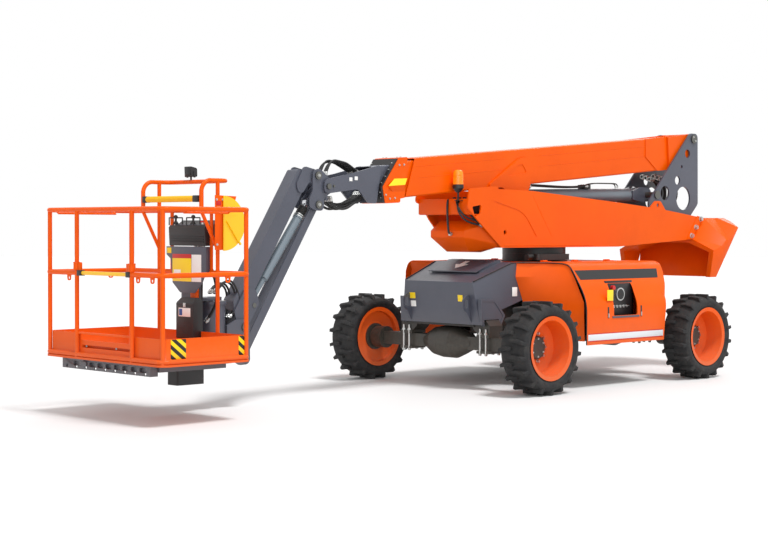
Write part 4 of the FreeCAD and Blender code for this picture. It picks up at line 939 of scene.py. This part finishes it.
def makeLiftHoses():
    # hoses on the lift cylinder's barrel from its rod end, the steel lines to the base port, and their block
    way = (liftPin - liftEye).normalized()
    up = Vector((-way.z, 0, way.x))

    def route(y, stations):
        return [liftEye + way * along + up * lift + Vector((0, y, 0)) for along, lift in stations]

    hose = ((1.84, 0.082), (1.86, 0.112), (1.7, 0.106), (1.3, 0.088), (1.02, 0.09), (0.94, 0.098))
    line = ((0.95, 0.098), (0.88, 0.128), (0.55, 0.124), (0.44, 0.122), (0.415, 0.1), (0.415, 0.074))
    body = "lift_barrel_body"
    heldHose("lift_cylinder_hoses", body, [(route(y, hose), 0.012) for y in (-0.03, 0.0, 0.03)])
    heldHose("lift_cylinder_lines", body, [(route(y, line), 0.006) for y in (-0.015, 0.015)], black)
    bm = bmesh.new()
    low, high = route(-0.045, [(0.9, 0.068)])[0], route(0.045, [(1.0, 0.112)])[0]
    blockAt(bm, low, high, 0.003)
    finishPiece("lift_cylinder_block", bm, body, black)


def makeBarrelCheeks():
    # cheeks welded beside the lift cylinder's eye, tapering onto the barrel
    outline = [(-1.815, 1.775, 0.07), (-1.83, 1.915, 0.07), (-1.64, 1.925, 0.04), (-1.5, 1.88),
               (-1.5, 1.79), (-1.66, 1.765, 0.04)]
    parts = [carved(prism("y", outline, side * 0.064, side * 0.082),
                    [crossDisc(liftEye.x, liftEye.z, 0.0302, side * 0.05, side * 0.1)]) for side in (-1, 1)]
    finishPiece("lift_barrel_cheeks", merged(parts), "lift_barrel_body", grey, 20)


def makePinKeepers():
    # keeper bolts on the ends of the boom's pin
    bm = bmesh.new()
    x, z = boomPin
    for side in (-1, 1):
        for step in (0.02, -0.02):
            hexBolt(bm, (x + step, side * 0.227, z + step), (0, side, 0), 0.016, 0.01)
    finishPiece("pin_keepers", bm, "turret", zinc)


for make in (makeWeldSeams, makeValveHoses, makeLiftHoses, makeBarrelCheeks, makePinKeepers):
    make()
print("turret dressed")

# boom trim; pieces are drawn along the boom and across it, from its pivot, then sloped as it parks
boomSlope = math.radians(5.15)


def finishOnBoom(name, bm, body, mats, smooth=30):
    bmesh.ops.rotate(bm, cent=(0, 0, 0), matrix=Matrix.Rotation(boomSlope, 3, "Y"), verts=bm.verts)
    bmesh.ops.translate(bm, vec=(boomPin[0], 0, boomPin[1]), verts=bm.verts)
    finishPiece(name, bm, body, mats, smooth)


def makeBoomSeams():
    # pressed lines along the side plates
    bm = bmesh.new()
    for side in (-1, 1):
        for start, end, n in ((3.02, 4.24, -0.035), (3.02, 4.22, -0.138), (0.46, 2.55, -0.035),
                              (0.46, 2.55, -0.138)):
            barBetween(bm, (start, side * 0.1496, n), (end, side * 0.1496, n), 0.0022, sides=8)
    finishOnBoom("boom_pressed_lines", bm, "base_section", orange)


def makeCollarBolts():
    # pad adjusting bolts on the sides and the top of the middle section's collar
    bm = bmesh.new()
    for side in (-1, 1):
        for s, n in ((4.395, -0.01), (4.455, -0.01), (4.6, -0.3), (4.535, -0.3), (4.645, -0.262)):
            hexBolt(bm, (s, side * 0.154, n), (0, side, 0), 0.014, 0.008)
        for s in (4.37, 4.41):
            hexBolt(bm, (s, side * 0.09, 0.056), (0, 0, 1), 0.014, 0.008)
    finishOnBoom("collar_bolts", bm, "mid_section", zinc)


def makeCollarHousing():
    # wedge-shaped housing on the collar's left side, yellow on its slanted top
    bm = hullOf([(4.527, 0.1545, -0.127), (4.622, 0.172, -0.186), (4.563, 0.1545, -0.239),
                 (4.365, 0.1545, -0.135), (4.413, 0.172, -0.19), (4.407, 0.1545, -0.248)])
    for face in bm.faces:
        face.material_index = 1 if face.calc_center_median().z > -0.18 and face.normal.y > 0.3 else 0
    finishOnBoom("collar_housing", bm, "mid_section", [orange, vinyl["yellow"]], 15)


def makeFootDoublers():
    # doubling plate round the boom's foot, both sides
    outline = [(-0.06, -0.07, 0.05), (-0.06, 0.06, 0.05), (0.786, 0.042), (0.799, -0.144), (0.633, -0.28),
               (0.6, -0.304), (0.17, -0.304, 0.09)]
    parts = [prism("y", outline, side * 0.1493, side * 0.1585) for side in (-1, 1)]
    finishOnBoom("boom_foot_doublers", merged(parts), "base_section", orange)


def makePadBolts():
    # screw ends round the edge of the middle section's wear pad
    bm = bmesh.new()
    rim = ((4.512, 0.005), (4.562, -0.05), (4.612, -0.105), (4.662, -0.16), (4.684, -0.24), (4.676, -0.29))
    spots = [(s, side * 0.13, n, 0.012, 0.01) for side in (-1, 1) for s, n in rim]
    spots += [(4.474, y, 0.028, 0.01, 0.009) for y in (-0.1, -0.05, 0.0, 0.05, 0.1)]
    for s, y, n, ds, dn in spots:
        barBetween(bm, (s, y, n), (s + ds, y, n + dn), 0.007, sides=12)
    finishOnBoom("wear_pad_bolts", bm, "mid_section", zinc)


for make in (makeBoomSeams, makeCollarBolts, makeCollarHousing, makeFootDoublers, makePadBolts):
    make()
print("boom dressed")

# jib and boom head
jibPin, linkPin = Vector((2.96, 0, 1.93)), Vector((2.955, 0, 1.68))
rodEye = Vector((3.005, 0, 1.7))
jibAngle = math.radians(57.5)
jibLength = 1.5


def alongJib(pin, along, out=0.0):
    way = Vector((math.cos(jibAngle), 0, -math.sin(jibAngle)))
    return pin + way * along + Vector((-way.z, 0, way.x)) * out


def makeRodBoot():
    # folded rubber boot over the jib cylinder's rod, with two clamps at its end
    way = (alongJib(jibPin, jibLength - 0.21, -0.005) - rodEye).normalized()
    fold = 0.0138
    bm = bmesh.new()
    for i in range(6):
        a = rodEye + way * (0.054 + i * fold)
        middle = a + way * fold / 2
        barBetween(bm, a, middle, 0.0375, 0.043, 28)
        barBetween(bm, middle, a + way * fold, 0.043, 0.0375, 28)
    for d in (0.1375, 0.155):
        barBetween(bm, rodEye + way * d, rodEye + way * (d + 0.009), 0.047, sides=28, index=1)
    finishPiece("jib_rod_boot", bm, "jib_rod_body", [hoseRubber, zinc], 20)


def pinHeads(pins):
    # pin heads with their keeper bolts, on both sides
    bm = bmesh.new()
    for pin in pins:
        for side in (-1, 1):
            p = Vector((pin.x, side * 0.1, pin.z))
            face = p + Vector((0, side * 0.012, 0))
            barBetween(bm, p, face, 0.034, sides=28)
            hexBolt(bm, face, (0, side, 0), 0.022, 0.012, 1)
    return bm


def makePinHeads():
    finishPiece("knuckle_pin_heads", pinHeads((jibPin, linkPin)), "boom_head_link", [pinSteel, zinc])
    bm = pinHeads([alongJib(pin, jibLength) for pin in (jibPin, linkPin)])
    # bolt heads round the rotator's flanges
    for i in range(12):
        a = math.tau * i / 12
        for z, way in ((0.884, 1), (0.372, -1)):
            spot = (4.03 + 0.098 * math.cos(a), 0.098 * math.sin(a), z)
            hexBolt(bm, spot, (0, 0, way), 0.013, 0.0045, 1, False)
    finishPiece("head_fixings", bm, "jib_end", [pinSteel, zinc])


def makeLevelPinEnds():
    # ends of the levelling pin with a keeper bolt beside each
    bm = bmesh.new()
    for side in (-1, 1):
        barBetween(bm, (2.862, side * 0.136, 1.838), (2.862, side * 0.14, 1.838), 0.024, sides=28)
        hexBolt(bm, (2.8, side * 0.124, 1.842), (0, side, 0), 0.018, 0.01)
    finishPiece("level_pin_ends", bm, "fly_section", pinSteel)


def makeJibHoses():
    # an arc over the knuckle's tube, a slack bundle below it, and hoses at the jib's foot
    routes = []
    for i, y in enumerate((-0.054, -0.038, -0.022, 0.022, 0.038, 0.054)):
        lift = 0.012 * (i % 3)
        routes.append(([(2.44, y, 1.965), (2.56, y, 2.02 + lift), (2.66, y, 2.062), (2.76, y, 2.05 + lift),
                        (2.815, y, 1.985), (2.83, y, 1.935)], 0.0085))
    heldHose("boom_head_hoses", "fly_section", routes)
    routes = []
    for i in range(7):
        y = -0.075 + 0.025 * i
        low = 1.645 + 0.02 * ((i * 2) % 3)
        routes.append(([(2.36, y, 1.8), (2.42, y, 1.74), (2.52, y, 1.7), (2.62, y * 1.1, low),
                        (2.72, y, low + 0.005), (2.785, y, 1.7), (2.8, y, 1.755)], 0.011))
    heldHose("fly_end_hoses", "fly_section", routes)
    routes = []
    for i, y in enumerate((-0.06, -0.03, 0.03, 0.06)):
        out = 0.012 * i
        routes.append(([(3.905, y, 0.745), (3.86 - out, y, 0.8), (3.82 - out, y, 0.9), (3.85, y, 1.0 + out),
                        (3.93, y, 1.02 + out), (4.0, y * 0.8, 0.985), (4.03, y * 0.7, 0.945)], 0.009))
    heldHose("foot_hoses", "jib_end", routes)


def makeHeadLabels():
    # two blank plates on the fly section's end
    bm = bmesh.new()
    for x, z in ((2.599, 1.905), (2.535, 1.915)):
        blockAt(bm, (x - 0.018, 0.1235, z - 0.016), (x + 0.018, 0.1252, z + 0.016), 0.0006)
    finishPiece("boom_head_labels", bm, "fly_section", vinyl["white"])


for make in (makeRodBoot, makePinHeads, makeLevelPinEnds, makeJibHoses, makeHeadLabels):
    make()
print("jib dressed")

# platform
gate = {"x": 5.13, "z": 1.127, "low": -0.292, "high": 0.441}
hoopBar = {"x": 4.47, "z": 1.706}
console = {"front": 4.36, "y0": -0.134, "y1": 0.338, "levers": (-0.105, 0.125), "leverX": 4.315, "top": 1.5}
documentFace = 4.413


def onPlatform(name, bm, mats, smooth=30, replaces=None):
    return finishPiece(name, bm, "platform", mats, smooth, replaces)


def makeHazardPlates():
    # striped plates on the near toe board: one at its front end, one at its rear end
    bm = bmesh.new()
    for x0, x1 in ((4.9, 5.04), (4.3375, 4.4)):
        blockAt(bm, (x0, 0.8001, 0.5), (x1, 0.8022, 0.655), 0.0006)
    onPlatform("hazard_plates", bm, [hazardSide, hazardEnd])


def makeChannel():
    # the carrying channel under the floor, with its row of oblong holes
    cutters = []
    for i in range(9):
        y = -0.449 + i * 0.1114
        corners = ((-1, 0.387), (1, 0.387), (1, 0.425), (-1, 0.425))
        cutters.append(prism("x", [(y + way * 0.042, z, 0.0185) for way, z in corners], 5.015, 5.045))
    onPlatform("platform_carrier", carved(solidOf("platform_support"), cutters), grey, 25,
               replaces="platform_support")


def makeToeBoards():
    # floor with its toe boards, lower in the gateway over a slot to step into
    cutters = [boxSolid((5.07, -0.266, 0.604), (5.14, 0.415, 0.7)),
               boxSolid((5.07, -0.25, 0.545), (5.14, 0.4, 0.566))]
    onPlatform("floor_and_toe_boards", carved(solidOf("platform_floor"), cutters), orange, 25,
               replaces="platform_floor")


def makeShield():
    # grey shield in front of the console, its lower corners cut, its sides folded back
    outline = [(-0.17, 1.33), (0.345, 1.33), (0.345, 1.119), (0.302, 1.046), (0.206, 0.963, 0.012),
               (0.01, 0.963, 0.012), (-0.089, 1.04), (-0.115, 1.23), (-0.17, 1.265)]
    front = console["front"]
    bm = softEdges(prism("x", outline, front - 0.003, front), 0.0008, 60)
    for y, z in ((-0.17, 1.265), (0.342, 1.119)):
        blockAt(bm, (front - 0.04, y, z), (front - 0.002, y + 0.003, 1.33), 0.0005)
    onPlatform("console_front_shield", bm, grey, replaces="console_shield")


def makeConsole():
    # moulded box with a raised back, a plate for the levers and a ribbed front
    side = [(4.19, 1.34, 0.01), (4.358, 1.336), (4.366, 1.482, 0.008), (4.352, 1.5, 0.008), (4.285, 1.502),
            (4.225, 1.54, 0.01), (4.19, 1.536, 0.008)]
    bm = softEdges(prism("y", side, console["y0"], console["y1"]), 0.003, 40)
    for z in (1.365, 1.385, 1.405):
        blockAt(bm, (4.355, console["y0"] + 0.02, z), (4.368, console["y1"] - 0.02, z + 0.006), 0.001)
    blockAt(bm, (4.262, -0.06, 1.4995), (4.345, 0.29, 1.506), 0.002, 1)
    onPlatform("console_box", bm, [plastic, grey], replaces="control_console")


def makeStand():
    # bars beside the console, from the middle rail up, with cross ties and a foot
    bm = bmesh.new()
    back = console["front"] - 0.052
    for y0, y1 in ((-0.173, -0.138), (0.342, 0.372)):
        blockAt(bm, (back, y0, 1.127), (back + 0.012, y1, 1.622), 0.0015)
    for z0, z1 in ((1.16, 1.21), (1.3, 1.33)):
        blockAt(bm, (back + 0.0015, -0.172, z0), (back + 0.0105, 0.371, z1), 0.001)
    blockAt(bm, (back + 0.002, 0.09, 0.663), (back + 0.01, 0.17, 1.165), 0.001)
    onPlatform("console_bars", bm, orange, replaces="console_stand")


def makeDocumentBox():
    # moulded box with a sloped lid, a hinge line, a catch, and raised bars on its front
    face = documentFace
    side = [(4.318, 0.6), (face, 0.6, 0.012), (face, 0.88), (4.378, 0.924), (4.318, 0.924)]
    front = [(0.03, 0.59), (0.25, 0.59), (0.25, 0.89), (0.225, 0.93), (0.055, 0.93), (0.03, 0.89)]
    box = carved(prism("y", side, 0.03, 0.25), [prism("x", front, 4.3, 4.42)], "INTERSECT")
    bm = softEdges(box, 0.003, 35)
    barBetween(bm, (face + 0.0005, 0.045, 0.872), (face + 0.0005, 0.235, 0.872), 0.003, sides=10)
    blockAt(bm, (face - 0.001, 0.125, 0.85), (face + 0.005, 0.155, 0.885), 0.0015, 1)
    for i in range(5):
        z = 0.64 + i * 0.016
        blockAt(bm, (face - 0.0005, 0.07, z), (face + 0.0015, 0.21, z + 0.006), 0.0007)
    onPlatform("document_holder", bm, [plastic, zinc], replaces="document_box")


def makeGateBar():
    # sliding bar: yellow tube, orange sleeves on the posts, black clamps
    bm = bmesh.new()
    x, z, low, high = (gate[key] for key in ("x", "z", "low", "high"))
    barBetween(bm, (x, low + 0.022, z), (x, high - 0.022, z), 0.0155, sides=28)
    rings = ((0.0275, 1.152, 1.21), (0.0295, 1.15, 1.156), (0.0295, 1.205, 1.211))
    addSolids(bm, [tubeSolid(x, y, r, 0.0195, z0, z1, 36) for y in (low, high) for r, z0, z1 in rings], 1)
    for y in (low + 0.022, high - 0.06):
        blockAt(bm, (x - 0.011, y, 1.113), (x + 0.011, y + 0.038, 1.209), 0.002, 1)
        blockAt(bm, (x - 0.0215, y + 0.004, 1.1055), (x + 0.0215, y + 0.06, 1.1485), 0.004, 2)
    finishPiece("sliding_gate_bar", bm, "gate", [yellow, orange, plastic], replaces="gate_bar")


def makeShieldLabels():
    # blank sheets on the shield and the document box, with plain panels that stand for their print
    bm = bmesh.new()
    x, face = console["front"] + 0.0001, documentFace + 0.0001
    sheets = [(x, -0.089, 0.158, 1.052, 1.236, 1), (x, -0.089, 0.158, 1.236, 1.27, 2),
              (x, 0.162, 0.286, 1.052, 1.267, 0), (x, -0.16, -0.105, 1.276, 1.32, 1),
              (face, 0.062, 0.215, 0.776, 0.845, 0)]
    panels = [(x, -0.07, 0.02, 1.075, 1.145, 0), (face, 0.07, 0.11, 0.785, 0.836, 3)]
    for front, y0, y1, z0, z1, index in sheets:
        blockAt(bm, (front, y0, z0), (front + 0.001, y1, z1), 0.0003, index)
    for front, y0, y1, z0, z1, index in panels:
        blockAt(bm, (front + 0.001, y0, z0), (front + 0.0015, y1, z1), 0.0001, index)
    onPlatform("platform_labels", bm, [vinyl[key] for key in ("white", "yellow", "red", "blue")])


def makeConsoleDetails():
    # levers in folded boots with guard hoops, a stop button and a row of switches
    bm = bmesh.new()
    x, top = console["leverX"], console["top"]
    for y in console["levers"]:
        for i in range(5):
            r, z = 0.03 - i * 0.004, top + 0.004 + i * 0.006
            barBetween(bm, (x, y, z), (x, y, z + 0.006), r, r - 0.003, 24)
        barBetween(bm, (x, y, top + 0.03), (x, y, top + 0.055), 0.009, sides=18)
        knob = Matrix.Translation((x, y, top + 0.066))
        bmesh.ops.create_uvsphere(bm, u_segments=24, v_segments=12, radius=0.017, matrix=knob)
        for px in (x - 0.032, x + 0.032):
            near, far = (px, y - 0.045, top + 0.06), (px, y + 0.045, top + 0.06)
            for end in (near, far):
                barBetween(bm, (*end[:2], top), end, 0.005, sides=12)
            barBetween(bm, near, far, 0.005, sides=12)
    barBetween(bm, (x, 0.25, top + 0.004), (x, 0.25, top + 0.022), 0.013, sides=24, index=1)
    barBetween(bm, (x, 0.25, top + 0.022), (x, 0.25, top + 0.034), 0.021, 0.019, 28, 2)
    for i in range(7):
        p = Vector((x - 0.035, -0.035 + i * 0.022, top + 0.005))
        barBetween(bm, p, p + Vector((0, 0, 0.006)), 0.0055, sides=14, index=1)
        barBetween(bm, p, p + Vector((0.004, 0, 0.018)), 0.0022, sides=10, index=1)
    onPlatform("console_details", bm, [plastic, zinc, vinyl["red"]])


def makeDiscPlate():
    # plate on the guard hoop that carries the yellow disc
    outline = [(4.383, 1.734), (4.172, 1.727), (4.2, 1.64), (4.272, 1.579), (4.272, 1.306), (4.383, 1.307)]
    bm = softEdges(prism("y", outline, 0.486, 0.492), 0.001, 60)
    for x, z in ((4.31, 1.7), (4.37, 1.7), (4.365, 1.35)):
        hexBolt(bm, (x, 0.492, z), (0, 1, 0), 0.014, 0.008, 1)
    blockAt(bm, (4.324, 0.4915, 1.655), (4.375, 0.4935, 1.69), 0.0005, 2)
    onPlatform("guard_disc_plate", bm, [orange, zinc, vinyl["red"]])


def makeLamp():
    # work lamp on its stalk: ribbed black housing, dark lens facing forward
    side = [(4.158, 1.892, 0.01), (4.222, 1.888, 0.006), (4.226, 1.976, 0.006), (4.16, 1.962, 0.018)]
    bm = softEdges(prism("y", side, -0.112, -0.024), 0.003, 40)
    y = -0.068
    barBetween(bm, (4.19, y, 1.868), (4.19, y, 1.895), 0.008, sides=16)
    for dy in (-0.049, 0.044):
        blockAt(bm, (4.182, y + dy, 1.885), (4.2, y + dy + 0.005, 1.94), 0.001)
    blockAt(bm, (4.2235, y - 0.037, 1.899), (4.2275, y + 0.037, 1.967), 0.002, 1)
    for i in range(6):
        blockAt(bm, (4.152, y - 0.036 + i * 0.013, 1.9), (4.16, y - 0.032 + i * 0.013, 1.945), 0.0008)
    onPlatform("work_lamp_head", bm, [plastic, vinyl["black"]], replaces="work_lamp")


def makePaddedBar():
    # foam sleeve on the guard hoop's cross bar, and the block at each of its ends
    x, z = hoopBar["x"], hoopBar["z"]
    sleeve = onPlatform("yellow_bar_sleeve", rodSolid((x, -0.29, z), (x, 0.35, z), 0.0245, 36), foam,
                        replaces="padded_bar")
    bm = bmesh.new()
    for y0, y1 in ((-0.3175, -0.27), (0.345, 0.4125)):
        blockAt(bm, (x - 0.026, y0, z - 0.026), (x + 0.026, y1, z + 0.026), 0.006)
    onPlatform("bar_end_blocks", bm, plastic)


def makeFloorTread():
    # raised anti-slip bars on the floor plate, turned by turns
    bm = bmesh.new()
    bar = Matrix.Diagonal((0.022, 0.005, 0.0015, 1))
    for i in range(24):
        for j in range(46):
            turn = Matrix.Rotation(math.radians(45 if (i + j) % 2 else -45), 4, "Z")
            place = Matrix.Translation((4.35 + i * 0.032, -0.68 + j * 0.0325, 0.4725))
            bmesh.ops.create_cube(bm, size=1, matrix=place @ turn @ bar)
    onPlatform("floor_tread", bm, orange)


def makeToeFixings():
    # bolts along the toe boards, and the step bar in the gateway
    bm = bmesh.new()
    for y in (-0.6, -0.2, 0.2, 0.6):
        for x, way in ((4.3354, 1), (5.1046, -1)):
            hexBolt(bm, (x, y, 0.56), (way, 0, 0), 0.014, 0.007)
    barBetween(bm, (gate["x"], -0.275, 0.66), (gate["x"], 0.424, 0.66), 0.008, sides=12, index=1)
    onPlatform("toe_board_fixings", bm, [zinc, orange])


def makePlatformCables():
    # cables from the console down behind the shield to the head
    routes = [([(4.25, 0.16, 1.335), (4.22, 0.2, 1.22), (4.16, 0.22, 1.05), (4.13, 0.2, 0.9),
                (4.12, 0.12, 0.8), (4.13, 0.05, 0.72)], 0.013)]
    for y in (0.1, 0.14, 0.18):
        routes.append(([(4.27, y, 1.335), (4.27, y, 1.25), (4.295, y + 0.03, 1.05), (4.29, y + 0.02, 0.86),
                        (4.3, y, 0.7), (4.24, y * 0.6, 0.55), (4.21, y * 0.4, 0.43)], 0.009))
    heldHose("platform_cables", "platform", routes)


for make in (makeHazardPlates, makeChannel, makeToeBoards, makeShield, makeConsole, makeStand,
             makeDocumentBox, makeGateBar, makeShieldLabels, makeConsoleDetails, makeDiscPlate, makeLamp,
             makePaddedBar, makeFloorTread, makeToeFixings, makePlatformCables):
    make()
print("platform dressed")


# floor, backdrop colour and lights
def makeStage():
    bm = bmesh.new()
    bmesh.ops.create_grid(bm, x_segments=1, y_segments=1, size=60)
    mesh = bpy.data.meshes.new("floor")
    bm.to_mesh(mesh)
    bm.free()
    floor = linked("floor", mesh)
    mesh.materials.append(newMaterial("pale_floor", "#e6e6e6", 0.9)[0])

    world = bpy.data.worlds.new("studio")
    bpy.context.scene.world = world
    world.use_nodes = True
    path = addNode(world, "ShaderNodeLightPath")
    # the backdrop is brighter to the camera and in reflections than as a light
    most = {"operation": "MAXIMUM"}
    seen = addNode(world, "ShaderNodeMath", most, [(0, path, "Is Camera Ray"), (1, path, "Is Glossy Ray")])
    seen = addNode(world, "ShaderNodeMath", most, [(0, seen, "Value"), (1, path, "Is Transmission Ray")])
    strength = ramp(world, seen, "Value", 0.0, 1.0, 0.5, 1.0)
    back = world.node_tree.nodes["Background"]
    back.inputs["Color"].default_value = (1, 1, 1, 1)
    world.node_tree.links.new(strength.outputs["Result"], back.inputs["Strength"])


lamps = [
    # name, direction that it shines from, softness in degrees, strength
    ("key", (-0.05, 0.4, 1.0), 14, 2.3),
    ("camera_fill", (0.75, 0.85, 0.45), 50, 0.95),
    ("rim", (-0.8, -0.5, 0.6), 30, 0.5),
]


def makeLamps():
    for name, source, softness, strength in lamps:
        data = bpy.data.lights.new(name, "SUN")
        data.angle = math.radians(softness)
        data.energy = strength
        linked(name, data).matrix_world = aimed(-Vector(source))


makeStage()
makeLamps()
bpy.context.scene.view_settings.view_transform = "Standard"
print("stage and lights made")
